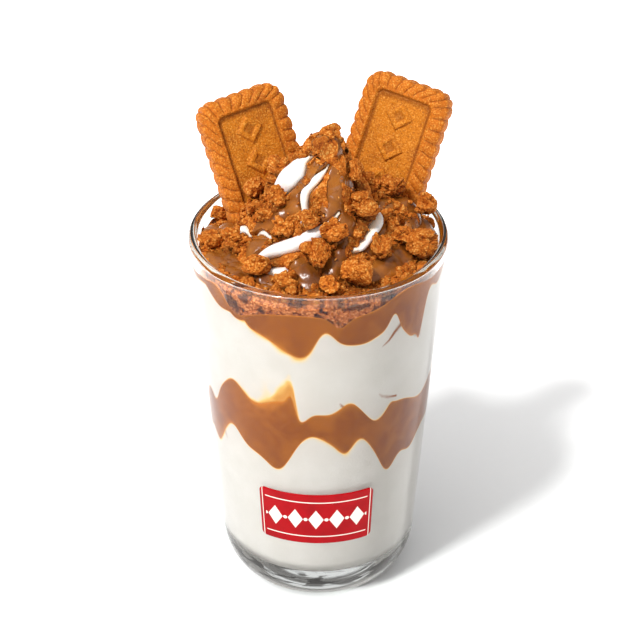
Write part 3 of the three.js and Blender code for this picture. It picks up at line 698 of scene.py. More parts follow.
@cache
def finish_of(slot: Slot, at_glass: bool) -> bpy.types.Material:
    """The one material of a slot, or of the food of that slot that the glass wets, whose ice cream and
    crumb are darker copies with painted shade.
    """
    if at_glass:
        finishes = {
            # ice cream painted darker behind the glass: painted shade
            Slot.ICE_CREAM: IceCreamFinish(
                "pressed_ice_cream_painted_shade",
                light=linear(218, 213, 208),
                dim=linear(212, 207, 201),
                specular=0.0,
                scatter=0.0,
            ),
            Slot.SAUCE: SauceFinish(
                "pressed_sauce",
                light=linear(160, 88, 14),
                dark=linear(138, 70, 8),
                specular=0.0,
                scatter=0.0,
                depth=0.02,
            ),
            # crumbs painted darker and more purple behind the glass: painted shade, and painted dark
            # reflection in the gaps
            Slot.CRUMB: CrumbFinish(
                "pressed_crumb_painted_shade",
                crack=linear(36, 11, 18),
                body=linear(104, 45, 25),
                grain=linear(180, 97, 47),
                bright=linear(220, 146, 90),
                specular=0.0,
            ),
        }
    else:
        finishes = {
            Slot.GLASS: GlassFinish(),
            Slot.PANEL: PanelFinish(),
            Slot.ICE_CREAM: IceCreamFinish(),
            Slot.SAUCE: SauceFinish(),
            Slot.CRUMB: CrumbFinish(),
            Slot.BISCUIT: BiscuitFinish(),
        }
    return finishes[slot].material()


# ---------------------------------------------------------------- the glass


@dataclass(frozen=True)
class Glass:
    """Conical glass with a thick clear base, a round heel and a round lip."""

    rim_radius: float = 44.0
    foot_radius: float = 33.8
    wall: float = 2.7
    base: float = 14.5
    heel_width: float = 12.0
    heel_height: float = 18.0
    floor_corner: float = 6.0
    lip_radius: float = 1.5
    middle: float = 12.0
    columns: int = 256

    def outer(self, z: np.ndarray) -> np.ndarray:
        """Outer radius of the cone at a height."""
        return self.foot_radius + (self.rim_radius - self.foot_radius) * z / RIM

    def inner(self, z: np.ndarray) -> np.ndarray:
        """Inner radius of the wall at a height."""
        return self.outer(z) - self.wall

    def contents(self, z: np.ndarray) -> np.ndarray:
        """Radius of the food at a height: it reaches a little into the wall, so no air shows."""
        return self.inner(z) + INTO_WALL

    def keep_inside(self, points: np.ndarray, past: float = -0.1) -> np.ndarray:
        """Moves points in towards the axis where they would pass the wall's inner face.

        Args:
            points: the points.
            past: how far past the face they may lie.

        Returns:
            The points, moved.
        """
        radius = np.hypot(points[..., 0], points[..., 1])
        most = np.where(points[..., 2] < RIM + 1, self.inner(points[..., 2]) + past, 99.0)
        return drawn_in(points, np.minimum(1, most / np.maximum(radius, 1e-6)))

    def profile(self) -> np.ndarray:
        """Radius and height along the section: quarter-ellipse heel, cone, round lip, cone, corner."""
        turn = np.linspace(0, np.pi / 2, 25)
        lip_turn = np.linspace(0, np.pi, 17)
        lip, corner = self.lip_radius, self.floor_corner
        lip_centre = self.outer(RIM) - lip
        corner_centre = self.inner(self.base + corner) - corner
        outer_z = np.linspace(self.heel_height, RIM - lip, 26)[1:-1]
        inner_z = np.linspace(RIM - 4, self.base + corner, 26)[:-1]
        heel_inset = self.heel_width * (1 - np.sin(turn))
        parts = (
            ([self.middle], [0.0]),
            (self.outer(self.heel_height) - heel_inset, self.heel_height * (1 - np.cos(turn))),
            (self.outer(outer_z), outer_z),
            (lip_centre + lip * np.cos(lip_turn), RIM - lip + lip * np.sin(lip_turn)),
            (self.inner(inner_z), inner_z),
            (corner_centre + corner * np.cos(turn), self.base + corner * (1 - np.sin(turn))),
            ([self.middle], [self.base]),
        )
        return np.concatenate([np.stack(part, -1) for part in parts])

    def build(self) -> bpy.types.Object:
        """The glass: its section carried round the axis."""
        profile = self.profile()
        angle = np.arange(self.columns) * 360 / self.columns
        rings = polar(angle[None, :], profile[:, :1], profile[:, 1:])
        surface = ring_stack(rings, np.array([0, 0, 0.0]), np.array([0, 0, self.base]), {})
        return surface.make("clear_glass", Slot.GLASS, ("glass",))


def rounded_frame(
    step: np.ndarray, width: float, length: float, corner: float
) -> tuple[np.ndarray, np.ndarray]:
    """Points round a rectangle with round corners, and the direction out of it at each.

    The place on a plain rectangle is clamped to the rectangle of the corners' centres, and the point
    lies one corner radius out from there.

    Args:
        step: place round it, 13 steps along each length and 7 across each width.
        width: across.
        length: along.
        corner: radius of the corners.

    Returns:
        Points and directions, each of shape (..., 2).
    """
    along, across = 13, 7
    s = step % (2 * (along + across))
    half_x, half_y = width / 2, length / 2
    x = np.select(
        [s < along, s < along + across, s < 2 * along + across],
        [half_x, half_x - width * (s - along) / across, -half_x],
        -half_x + width * (s - 2 * along - across) / across,
    )
    y = np.select(
        [s < along, s < along + across, s < 2 * along + across],
        [-half_y + length * s / along, half_y, half_y - length * (s - along - across) / along],
        -half_y,
    )
    flat = np.stack([x, y], -1)
    core = np.clip(flat, [corner - half_x, corner - half_y], [half_x - corner, half_y - corner])
    out = flat - core
    out = out / np.maximum(np.linalg.norm(out, axis=-1), 1e-9)[..., None]
    return core + out * corner, out


@dataclass(frozen=True)
class Label:
    """Printed panel wrapped round the front of the glass."""

    centre: float = -1.3
    half_angle: float = 31.4
    low: float = 31.6
    high: float = 54.1
    corner: float = 2.0
    thickness: float = 0.5
    off_wall: float = 0.05
    columns: int = 320
    columns_per_step: int = 8

    def build(self, glass: Glass) -> bpy.types.Object:
        """The panel: rounded rectangles that grow over its face, turn its edge and shrink over its back.

        Args:
            glass: what it is wrapped round.

        Returns:
            The piece.
        """
        middle = (self.low + self.high) / 2
        width = 2 * np.radians(self.half_angle) * glass.outer(middle)
        height = self.high - self.low
        step = np.arange(self.columns) / self.columns_per_step
        outline, _ = rounded_frame(step, width, height, self.corner)
        face = np.linspace(0.02, 1, 40)
        share = np.concatenate([face, [1.0, 1.0], face[::-1][1:]])
        soft = self.thickness * (1 - 0.35 * smoothstep(face, 0.985, 1.0))
        lift = np.concatenate([soft, [self.thickness * 0.4, 0.0], np.zeros(len(face) - 1)])
        flat = outline[None] * share[:, None, None]
        z = middle + flat[..., 1]
        angle = self.centre + flat[..., 0] / (width / 2) * self.half_angle
        rings = polar(angle, glass.outer(z) + self.off_wall + lift[:, None], z)
        face_middle, back_middle = (
            polar(np.array(self.centre), glass.outer(middle) + self.off_wall + t, middle)
            for t in (self.thickness, 0)
        )
        values = {"along": flat[..., 0], "up": flat[..., 1], "end": np.abs(flat[..., 0]) / (width / 2)}
        flipped = {key: value[::-1] for key, value in values.items()}
        surface = ring_stack(rings[::-1], back_middle, face_middle, flipped)
        surface.quads = surface.quads[:, ::-1]
        surface.triangles = surface.triangles[:, ::-1]
        panel = surface.make("printed_panel", Slot.PANEL, ("label",))
        panel.visible_shadow = False
        return panel


# ---------------------------------------------------------------- layers in the glass


def seeded_numbers(seed: int, count: int) -> list[float]:
    """The random numbers that the CAD model's hidden waves use: a 32-bit counter, mixed twice."""
    mask = 0xFFFFFFFF
    state = seed
    numbers = []
    for _ in range(count):
        state = (state + 0x6D2B79F5) & mask
        t = ((state ^ (state >> 15)) * (1 | state)) & mask
        t = ((t + ((t ^ (t >> 7)) * (61 | t) & mask)) & mask) ^ t
        numbers.append(((t ^ (t >> 14)) & mask) / 4294967296)
    return numbers


@dataclass(frozen=True)
class LayerEdge:
    """Edge between two layers: levels inside and at the glass, and (angle, height, half width) of waves."""

    inside: float
    level: float
    waves: tuple
    behind: float
    seed: int

    def all_waves(self) -> list:
        """The waves in front, and those round the back, alternating up and down."""
        numbers = seeded_numbers(self.seed, 16)
        back = [
            (102 + 22.5 * i, self.behind * (-1) ** i * (0.6 + 0.6 * high), 9.5 * (0.7 + 0.5 * wide))
            for i, (high, wide) in enumerate(zip(numbers[::2], numbers[1::2]))
        ]
        return [*self.waves, *back]

    def height(self, angle: np.ndarray) -> np.ndarray:
        """Height at angles: the level plus a bell curve for each wave."""
        z = np.full(np.shape(angle), self.level)
        for at, height, half_width in self.all_waves():
            z = z + height * bell(turn_between(angle, at), half_width)
        return z


MIDDLE_SAUCE_FOOT = LayerEdge(
    68.0, 68.1,
    ((-66.6, -6.1, 6.4), (-50.3, 7.1, 7.8), (-20.9, -6.7, 9.1), (-3.4, 11.3, 13.2),
     (14.9, -7.6, 6.0), (19.0, 11.1, 10.0), (40.1, -9.7, 7.3), (56.8, -5.9, 8.7), (-86.0, -8.0, 10.0)),
    7, 11,
)
MIDDLE_SAUCE_TOP = LayerEdge(
    88.0, 88.0,
    ((-65.0, -7.3, 5.7), (-46.4, 7.6, 9.1), (-16.8, 5.6, 12.6), (-13.4, 6.5, 2.6), (-9.4, -6.5, 5.3),
     (15.6, 4.7, 6.7), (30.6, -5.4, 6.7), (39.0, 1.3, 2.5), (62.7, -5.1, 12.1), (-86.0, -16.0, 12.0)),
    5, 12,
)
TOP_SAUCE_FOOT = LayerEdge(
    117.0, 121.5,
    ((-67.0, 8.9, 14.7), (-43.3, 2.3, 5.9), (-37.0, 2.5, 3.0), (-6.4, -8.9, 16.0), (2.6, 8.4, 6.0),
     (21.4, -3.7, 10.2), (37.1, 5.7, 3.5), (52.0, -9.7, 9.5), (55.5, -7.9, 2.4), (60.3, 9.8, 6.4),
     (80.0, 9.0, 13.0), (-86.0, 5.5, 11.0)),
    -7, 13,
)
CRUMB_FOOT = LayerEdge(
    123.0, 128.5,
    ((-63.0, 2.8, 8.9), (-51.2, 7.9, 8.4), (-46.0, -5.8, 13.6), (-8.5, 1.7, 16.0), (9.8, -3.9, 4.7),
     (44.4, 5.6, 16.0), (75.0, 3.2, 16.0), (-86.0, 1.7, 12.0)),
    2, 14,
)


def top_sauce_foot(angle: np.ndarray) -> np.ndarray:
    """Foot of the top sauce, never within 2 mm of the crumbs over it."""
    return np.minimum(TOP_SAUCE_FOOT.height(angle), CRUMB_FOOT.height(angle) - 2)


@dataclass(frozen=True)
class Mound:
    """Food piled against a biscuit: a bell-shaped rise."""

    x: float
    y: float
    height: float
    half_width: float


MOUNDS = (Mound(31, 7, 6.5, 7), Mound(22, 9, 2.5, 6), Mound(-15, 6, 2.5, 8))


def mound_height(x: np.ndarray, y: np.ndarray) -> np.ndarray:
    """Height that the mounds add over points."""
    return sum(m.height * bell(np.hypot(x - m.x, y - m.y), m.half_width) for m in MOUNDS)


def crumb_top(x: np.ndarray, y: np.ndarray) -> np.ndarray:
    """Height of the crumb bed's upper face: deep under the swirl, up to 3 mm below the rim in front."""
    angle, radius = angle_of(x, y), np.hypot(x, y)
    at_wall = 3 + 5.2 * (1 - np.cos(np.radians(angle))) / 2
    rise = smoothstep(radius, 27, 38)
    lumps = 0.7 * rise * np.sin(np.radians(angle * 13)) * np.cos(np.radians(angle * 8) + radius * 0.9)
    return RIM - BED_DEPTH + (BED_DEPTH - at_wall) * rise + lumps + mound_height(x, y) * rise


@dataclass(frozen=True)
class Smear:
    """A thin stroke of sauce drawn on the ice cream behind the glass, through (angle, height) points."""

    path: tuple
    half_width: float
    strength: float = 1.0
    soft: float = 0.25


SMEARS = (
    Smear(((43, 121.5), (38, 118.6), (34.6, 115.6), (31.5, 114.2)), 0.9),
    Smear(((42, 90.2), (37, 91.2), (33, 92.6), (31.5, 93.8)), 0.45),
    Smear(((49, 116), (53, 112.5), (57, 111)), 1.6, 0.6, 1.0),
    Smear(((12, 92), (10.5, 93.4)), 0.5, 0.9),
    Smear(((-60, 70), (-57, 66.5)), 1.2, 0.45, 1.2),
)


@dataclass(frozen=True)
class Layers:
    """The four smooth layers behind the glass, each a closed body from one face up to the next."""

    glass: Glass
    columns: int = 640
    row_height: float = 0.56

    def angles(self) -> np.ndarray:
        """Angle of each column."""
        return np.arange(self.columns) * 360 / self.columns

    def face(self, wall_height: np.ndarray, level: float) -> np.ndarray:
        """Rings of a face from near its middle out to the wall; its waves fade inwards with reach^3."""
        reach = np.array([0.36, 0.72, 0.88, 0.96])[:, None]
        z = level + (wall_height[None] - level) * reach**3
        return polar(self.angles()[None], self.glass.inner(level) * reach, z)

    def wall(self, foot: np.ndarray, top: np.ndarray) -> np.ndarray:
        """Rings up the wall, evenly spaced from foot to top at each angle."""
        rows = int(np.ceil((top - foot).max() / self.row_height)) + 1
        z = foot[None] + (top - foot)[None] * np.linspace(0, 1, rows)[:, None]
        return polar(self.angles()[None], self.glass.contents(z), z)

    def fade(
        self,
        points: np.ndarray,
        foot: np.ndarray,
        top: np.ndarray,
        fringes: tuple,
        narrow: float,
        uneven: np.ndarray,
    ) -> np.ndarray:
        """Share that dies away exponentially from both edges of a layer, more slowly in its wide fringes.

        Args:
            points: rings of points.
            foot: height of the lower edge at each angle.
            top: height of the upper edge at each angle.
            fringes: (angle, half angle, width) of wide fringes by the lower edge, then by the upper.
            narrow: width of the fade elsewhere.
            uneven: what the width is multiplied by at each point.

        Returns:
            The share at each point.
        """
        angle, z = self.angles()[None], points[..., 2]
        total = np.zeros(z.shape)
        for away, places in ((z - foot[None], fringes[0]), (top[None] - z, fringes[1])):
            width = narrow + sum(w * bell(turn_between(angle, at), half) for at, half, w in places)
            total = np.maximum(total, np.exp(-np.maximum(away, 0) / (width * uneven)))
        return total

    def amber(self, points: np.ndarray, foot: np.ndarray, top: np.ndarray, fringes: tuple) -> np.ndarray:
        """Share of ice cream that thin sauce soaks, as fade() gives it."""
        uneven = 0.75 + 0.5 * soft_noise(points, 3.5, 71, 2)
        return np.clip(self.fade(points, foot, top, fringes, 0.16, uneven), 0, 1)

    def thinness(self, points: np.ndarray, foot: np.ndarray, top: np.ndarray, fringes: tuple) -> np.ndarray:
        """Share of thin sauce, as fade() gives it."""
        uneven = 0.7 + 0.6 * soft_noise(points, 3, 83, 2)
        return np.clip(self.fade(points, foot, top, fringes, 0.22, uneven) * 0.85, 0, 1)

    def smears(self, points: np.ndarray) -> np.ndarray:
        """Share of smeared sauce, from 1 on a stroke to 0 past its tapering edge."""
        angle = turn_between(self.angles()[None], 0) + 0 * points[..., 2]
        per_degree = np.radians(1) * 40
        total = np.zeros(angle.shape)
        for smear in SMEARS:
            path = np.array(smear.path) * [per_degree, 1]
            away, share = near_path(np.stack([angle * per_degree, points[..., 2]], -1), path)
            width = smear.half_width * (1 - 0.85 * share)
            inside = 1 - smoothstep(away, width - smear.soft / 2, width + smear.soft / 2 + 1e-6)
            total = np.maximum(total, smear.strength * inside)
        return total

    def lower_ice_cream(self) -> bpy.types.Object:
        """Ice cream on the glass's floor: flat floor, round corner, wall, and the sauce's foot on top."""
        foot, corner = self.glass.base, self.glass.floor_corner
        turn = np.linspace(0, np.pi / 2, 14)[:, None]
        middle = self.glass.inner(foot + corner) - corner
        bend = polar(
            self.angles()[None],
            middle + (corner + INTO_WALL) * np.sin(turn),
            foot + corner - (corner + INTO_WALL) * np.cos(turn),
        )
        flat = polar(self.angles()[None], np.array([[9.0], [18.0]]), foot - INTO_WALL)
        top = MIDDLE_SAUCE_FOOT.height(self.angles())
        wall = self.wall(np.full(self.columns, foot + corner), top)[1:]
        face = self.face(top, MIDDLE_SAUCE_FOOT.inside)[::-1]
        rings = np.concatenate([flat, bend, wall, face])
        fringes = ((), ((12, 16, 0.5), (-22, 12, 0.12), (-60, 8, 0.5)))
        amber = self.amber(rings, np.full(self.columns, -99.0), top, fringes)
        values = {"amber": amber, "smear": self.smears(rings)}
        levels = (foot - INTO_WALL, MIDDLE_SAUCE_FOOT.inside)
        return self.body("lower_scoop", Slot.ICE_CREAM, "lower_ice_cream", rings, levels, values)

    def between(self, foot: np.ndarray, top: np.ndarray, levels: tuple) -> np.ndarray:
        """Rings of a layer between two edges."""
        lower, upper = self.face(foot, levels[0]), self.face(top, levels[1])
        return np.concatenate([lower, self.wall(foot, top), upper[::-1]])

    def body(
        self, name: str, slot: Slot, node: str, rings: np.ndarray, levels: tuple, values: dict
    ) -> bpy.types.Object:
        """Makes a layer's piece.

        Args:
            name: name of the piece.
            slot: its slot.
            node: CAD node that it stands for.
            rings: its points, from the lower face's middle out, up and in.
            levels: heights of its two faces' middles.
            values: the points' values.

        Returns:
            The piece.
        """
        first, last = (np.array([0, 0, level]) for level in levels)
        return ring_stack(rings, first, last, values).make(name, slot, (node,), at_glass=True)

    def middle_sauce(self) -> bpy.types.Object:
        """The middle sauce, thinner and more orange by its upper edge at the left of the front."""
        foot, top = MIDDLE_SAUCE_FOOT.height(self.angles()), MIDDLE_SAUCE_TOP.height(self.angles())
        levels = (MIDDLE_SAUCE_FOOT.inside, MIDDLE_SAUCE_TOP.inside)
        rings = self.between(foot, top, levels)
        fringes = (((12, 12, 0.9), (-58, 7, 2.0)), ((-26, 13, 4.5), (13, 7, 0.9)))
        values = {"thin": self.thinness(rings, foot, top, fringes)}
        return self.body("middle_ribbon", Slot.SAUCE, "middle_sauce", rings, levels, values)

    def flame(self, rings: np.ndarray, foot: np.ndarray) -> np.ndarray:
        """Amber flame over the middle sauce, highest at its steep right side, which leans to the left.

        Its height is a bell curve of the angle to the left of its peak, and it fades towards its top.

        Args:
            rings: points of the ice cream.
            foot: height of the sauce's edge at each angle.

        Returns:
            Its share at each point.
        """
        angle, rise = turn_between(self.angles()[None], 0), rings[..., 2] - foot[None]
        uneven = 1 + 0.35 * soft_noise(rings, 3, 5, 2)
        tall = 2.2 + 8.5 * bell(np.minimum(angle + 13, 0), 9) * uneven
        steep = smoothstep(-9.3 - 0.35 * np.maximum(rise, 0) - angle, -0.6, 0.9)
        return (1 - smoothstep(rise / tall, 0.25, 1.0)) * smoothstep(angle, -30, -20) * steep

    def upper_ice_cream(self) -> bpy.types.Object:
        """Ice cream between the two sauces, with an amber flame at the left of the front."""
        foot, top = MIDDLE_SAUCE_TOP.height(self.angles()), top_sauce_foot(self.angles())
        levels = (MIDDLE_SAUCE_TOP.inside, TOP_SAUCE_FOOT.inside)
        rings = self.between(foot, top, levels)
        fringes = (((-27, 12, 2.0), (13, 6, 0.3), (34, 5, 0.4)), ((-14, 13, 1.1), (-33, 5, 0.5)))
        amber = np.maximum(self.amber(rings, foot, top, fringes), 0.85 * self.flame(rings, foot))
        values = {"amber": np.clip(amber, 0, 1), "smear": self.smears(rings)}
        return self.body("upper_scoop", Slot.ICE_CREAM, "upper_ice_cream", rings, levels, values)

    def top_sauce(self) -> bpy.types.Object:
        """The sauce under the crumbs."""
        foot, top = top_sauce_foot(self.angles()), CRUMB_FOOT.height(self.angles())
        levels = (TOP_SAUCE_FOOT.inside, CRUMB_FOOT.inside)
        rings = self.between(foot, top, levels)
        fringes = (((-14, 12, 1.2), (50, 8, 1.0)), ((30, 30, 0.3),))
        values = {"thin": self.thinness(rings, foot, top, fringes)}
        return self.body("top_ribbon", Slot.SAUCE, "top_sauce", rings, levels, values)

    def build(self) -> None:
        """All four, from the floor up."""
        self.lower_ice_cream()
        self.middle_sauce()
        self.upper_ice_cream()
        self.top_sauce()


# ---------------------------------------------------------------- the topping


@dataclass(frozen=True)
class Band:
    """Thick sauce along a path of (x, y) points, with a round section."""

    half_width: float
    thickness: float
    path: tuple


@dataclass(frozen=True)
class Fold:
    """A bare white fold of ice cream along a path of (x, y) points; its ends taper to a share of it."""

    half_width: float
    height: float
    path: tuple
    start_share: float = 0.3
    end_share: float = 0.3


BANDS = (
    Band(4.2, 2.2, ((1, -2), (4, -6), (5, -12), (3, -18))),
    Band(2.9, 1.8, ((-1, -6), (-4, -9), (-10, -10))),
    Band(3, 1.8, ((-8, -13), (-13, -12), (-19, -10))),
    Band(4, 2.3, ((-37, 5), (-33, 9), (-29, 1))),
    Band(5, 2.6, ((-34, -11), (-29, -17), (-26, -22))),
    Band(3.4, 2, ((-18, -12), (-20, -16), (-22, -19))),
    Band(3.4, 2, ((-19, -26), (-16, -30))),
    Band(4.6, 2.4, ((-6, -24), (-4, -29), (-2, -33))),
    Band(4, 2.2, ((8, -15), (7, -20), (5, -25), (4, -30))),
    Band(4.4, 2.4, ((14, -26), (21, -23), (27, -15), (28, -9))),
    Band(3.2, 2, ((19, -6), (20, -11), (17, -17))),
    Band(4, 2.2, ((23, 2), (28, 7), (33, 5), (37, 3))),
    Band(3.6, 2, ((4, 4), (9, 13), (7, 24))),
    Band(4, 2.2, ((-4, 12), (-2, 24), (-9, 31))),
)

FOLDS = (
    Fold(4.9, 2.6, ((-4.6, -4.4), (-7.6, -3.9), (-10.6, -3.6), (-13.4, -3.9)), 0.15, 0.75),
    Fold(1.5, 1.7, ((1.9, -6.9), (1.1, -7.9), (-0.2, -8.8), (-1.9, -9.5), (-3.7, -10.2), (-4.9, -11.2),
                    (-5.2, -12.4), (-4.8, -13.6), (-3.9, -14.8)), 0.25, 0.75),
    Fold(1.7, 1.2, ((-5.6, -14.3), (-3.8, -15.6)), 0.6, 0.6),
    Fold(2.4, 2.5, ((6.2, -14.5), (3.9, -16.9), (0.8, -18.9), (-3.3, -20.3), (-7.4, -20.9), (-11.7, -20.7),
                    (-16.5, -20), (-19, -19.8)), 0.25, 0.7),
    Fold(2.5, 2.2, ((-19, -22.6), (-15, -24.5), (-11, -25.4), (-7.8, -25)), 0.5, 0.4),
    Fold(1.7, 2.9, ((16.2, 3.9), (17.8, 0.3), (18.8, -3.5), (18.8, -7.9), (17.4, -12.6), (15.3, -17),
                    (13.2, -20.1), (11.7, -21.1)), 0.2, 0.5),
    Fold(0.9, 1.3, ((11.9, -5.2), (13.5, -4.3))),
    Fold(1.9, 2.0, ((-29.5, -3.7), (-28.7, -0.8), (-26.8, -0.9), (-24.3, -4.2), (-22.4, -8)), 0.5, 0.3),
    Fold(1.1, 1.2, ((-20.6, -9.7), (-18.2, -11.2), (-15.7, -13.5), (-13.9, -15.5))),
    Fold(2.0, 2.2, ((-14, 11), (-8, 16), (0, 18), (9, 17))),
    Fold(1.8, 2.0, ((-18, 22), (-8, 27), (4, 28))),
    Fold(1.6, 2.0, ((14, 20), (21, 16), (25, 9))),
    Fold(1.6, 2.4, ((-7, 4), (-4, 8), (2, 9))),
)


COVERED = (
    (-3.2, -3.8, 1.5), (-0.6, -4.8, 1.6), (2.2, -5.0, 1.6), (5.0, -4.2, 1.7), (8.8, -12.4, 1.6),
    (-4.6, -8.2, 1.0), (-2.2, -11.8, 1.2), (-1.0, 3.0, 3.0),
)
BARE = (
    (-1.4, -2.6, 1.8), (-35.5, 8.5, 3.2), (-31.5, -16, 5), (-17.8, -14.6, 2.6), (-4.6, -29, 2.6),
    (5, -24.5, 3), (17.5, -24, 3.2), (24.5, -16.5, 3.6), (31.8, 0.5, 3), (20.6, -6.8, 1.9),
    (-17.6, -9, 2.2), (2.4, -16, 2.4), (7.4, -6.4, 2.6), (8.4, -2.2, 2.6), (9.6, -9.6, 1.6),
)


def chunk_names() -> list[str]:
    """The CAD model's chunks, in order."""
    return sorted(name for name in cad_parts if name.startswith("chunk_"))


def near_circles(x: np.ndarray, y: np.ndarray, circles: tuple) -> np.ndarray:
    """Distance outside the nearest of some circles (x, y, radius), less than 0 inside one."""
    return np.min([np.hypot(x - at_x, y - at_y) - radius for at_x, at_y, radius in circles], axis=0)


@dataclass(frozen=True)
class Heap:
    """The swirl's ground, and how thick cream, sauce and crumbs lie on it."""

    edge_radius: float = 33.8
    reach: float = 41.0
    drop: float = 6.0
    rise: float = 49.0
    bud_height: float = 34.5
    bud_radius: float = 7.8
    shoulder: float = 6.2
    arm_pitch: float = 9.3
    arms: int = 6
    ridge: float = 5.0
    lean: float = 3.0
    crumb_depth: float = 1.2
    creep: float = 1.2

    def edge(self, angle: np.ndarray) -> np.ndarray:
        """Radius of the swirl's foot at angles."""
        return self.edge_radius + 0.9 * np.cos(np.radians(angle)) + 0.5 * np.sin(np.radians(7 * angle))

    def smooth(self, radius: np.ndarray) -> np.ndarray:
        """Hollow cone, rise (1 - r/reach)^2, with a round curl at its peak."""
        inward = np.maximum(0, 1 - np.maximum(radius, self.shoulder) / self.reach)
        cone = self.rise * inward**2 - self.drop
        bud = self.bud_height * (1 - (np.minimum(radius, 12) / self.bud_radius) ** 6)
        return RIM + np.maximum(cone, bud)

    def ridges(self, x: np.ndarray, y: np.ndarray) -> np.ndarray:
        """Six round ridges that wind down the heap, |cos| of a phase that grows with radius and angle."""
        radius = np.hypot(x, y)
        phase = radius / self.arm_pitch + angle_of(x, y) * self.arms / 360
        strength = self.ridge * smoothstep(radius, 2, 12) * (1 - 0.7 * smoothstep(radius, 25, 36))
        return strength * (np.abs(np.cos(np.pi * phase)) - 0.5)

    def ground(self, x: np.ndarray, y: np.ndarray) -> np.ndarray:
        """Height of the heap with its ridges, and of the crumb bed outside its foot."""
        radius = np.hypot(x, y)
        swirl = self.smooth(radius) + mound_height(x, y) + self.ridges(x, y)
        outside = smoothstep(radius - self.edge(angle_of(x, y)), -1.2, 0.6)
        return swirl * (1 - outside) + crumb_top(x, y) * outside

    def shift(self, z: np.ndarray) -> np.ndarray:
        """Sideways shift of the peak at heights."""
        return self.lean * np.maximum(0, (z - RIM) / 42) ** 2

    def lifted(self, path: tuple) -> np.ndarray:
        """A path's points put on the ground."""
        x, y = np.array(path, float).T
        return np.stack([x, y, self.ground(x, y)], -1)

    def bands(self, points: np.ndarray) -> tuple[np.ndarray, np.ndarray]:
        """Thick sauce at points of the ground.

        Returns:
            Its thickness, a half-ellipse across each band, and the distance from the nearest band's edge.
        """
        thick = np.zeros(points.shape[:-1])
        gap = np.full(points.shape[:-1], 99.0)
        for band in BANDS:
            away, _ = near_path(points, self.lifted(band.path))
            across = away / band.half_width
            thick = np.maximum(thick, band.thickness * np.sqrt(np.maximum(0, 1 - across**2)))
            gap = np.minimum(gap, away - band.half_width)
        return thick, gap

    def folds(self, points: np.ndarray) -> tuple[np.ndarray, np.ndarray]:
        """White folds at points of the ground.

        Returns:
            Their height, a half-ellipse across each, and the distance from the nearest fold's edge.
        """
        height = np.zeros(points.shape[:-1])
        gap = np.full(points.shape[:-1], 99.0)
        for fold in FOLDS:
            away, share = near_path(points, self.lifted(curved(fold.path)))
            start = fold.start_share + (1 - fold.start_share) * smoothstep(share, 0, 0.4)
            taper = start * (fold.end_share + (1 - fold.end_share) * smoothstep(1 - share, 0, 0.35))
            width = fold.half_width * taper
            rise = (fold.height + 0.6) * np.sqrt(taper) * np.sqrt(np.maximum(0, 1 - (away / width) ** 2))
            height = np.maximum(height, rise)
            gap = np.minimum(gap, away - width)
        return height, gap

    def cream(self, points: np.ndarray) -> np.ndarray:
        """Thickness of cream over the ground: just under it, but raised in the folds."""
        height, _ = self.folds(points)
        return height - 0.7

    def sauce(self, points: np.ndarray) -> np.ndarray:
        """Thickness of sauce: a thin uneven coat, round bands, and nothing where a fold is bare."""
        thick, _ = self.bands(points)
        _, gap = self.folds(points)
        coat = 0.35 + 0.35 * soft_noise(points, 5, 3, 2)
        outer = np.hypot(points[..., 0], points[..., 1]) - self.edge_radius
        coat = coat - 2.2 * smoothstep(outer, -3, 1)
        bare = 1 - smoothstep(gap, -0.45, 0.5)
        blobs = 0.4 + 0.9 * np.maximum(soft_noise(points, 4.6, 91, 2), -0.3)
        swollen = blobs + thick - 0.45 * self.ridges(points[..., 0], points[..., 1])
        filled = np.where(thick > 0, np.maximum(swollen, 0.5), -2)
        return smooth_greater(coat, filled, 0.5) - 2.6 * bare

    def crumbs(self, points: np.ndarray) -> tuple[np.ndarray, np.ndarray]:
        """Thickness of the fine crumbs between the bands and folds, which creep over the bands' sides.

        Args:
            points: points of the ground.

        Returns:
            The thickness up to their top, and how high each grain stands from 0 to 1.
        """
        _, band_gap = self.bands(points)
        _, fold_gap = self.folds(points)
        ragged = 1.3 * soft_noise(points, 3.6, 51, 2)
        x, y = points[..., 0], points[..., 1]
        open_places = np.minimum(band_gap + self.creep, near_circles(x, y, BARE))
        gap = np.minimum(np.maximum(open_places, -near_circles(x, y, COVERED)), fold_gap - 0.2) + ragged
        share = smoothstep(gap, -0.4, 0.8)
        sizes = ((0.5, 2.3), (0.3, 1.2), (0.2, 0.7))
        lumps = sum(part * grains(points, cell, 61 + i) for i, (part, cell) in enumerate(sizes))
        hills = 0.5 * soft_noise(points, 4.5, 64, 1)
        under = np.clip(self.sauce(points), 0, 3)
        return under + share * (1.6 + self.crumb_depth * lumps + hills) - 1.6, lumps

    def top(self, points: np.ndarray) -> np.ndarray:
        """Thickness of whatever shows."""
        return np.maximum(np.maximum(self.cream(points), self.sauce(points)), self.crumbs(points)[0])

    def radii(self, count: int, outer: float) -> np.ndarray:
        """Radii from outer to near 0, evenly spaced along the heap's slope."""
        radius = np.linspace(0, outer, 2400)
        length = np.concatenate([[0], np.cumsum(np.hypot(np.diff(radius), np.diff(self.smooth(radius))))])
        return np.interp(np.linspace(length[-1], length[-1] / count, count), length, radius)


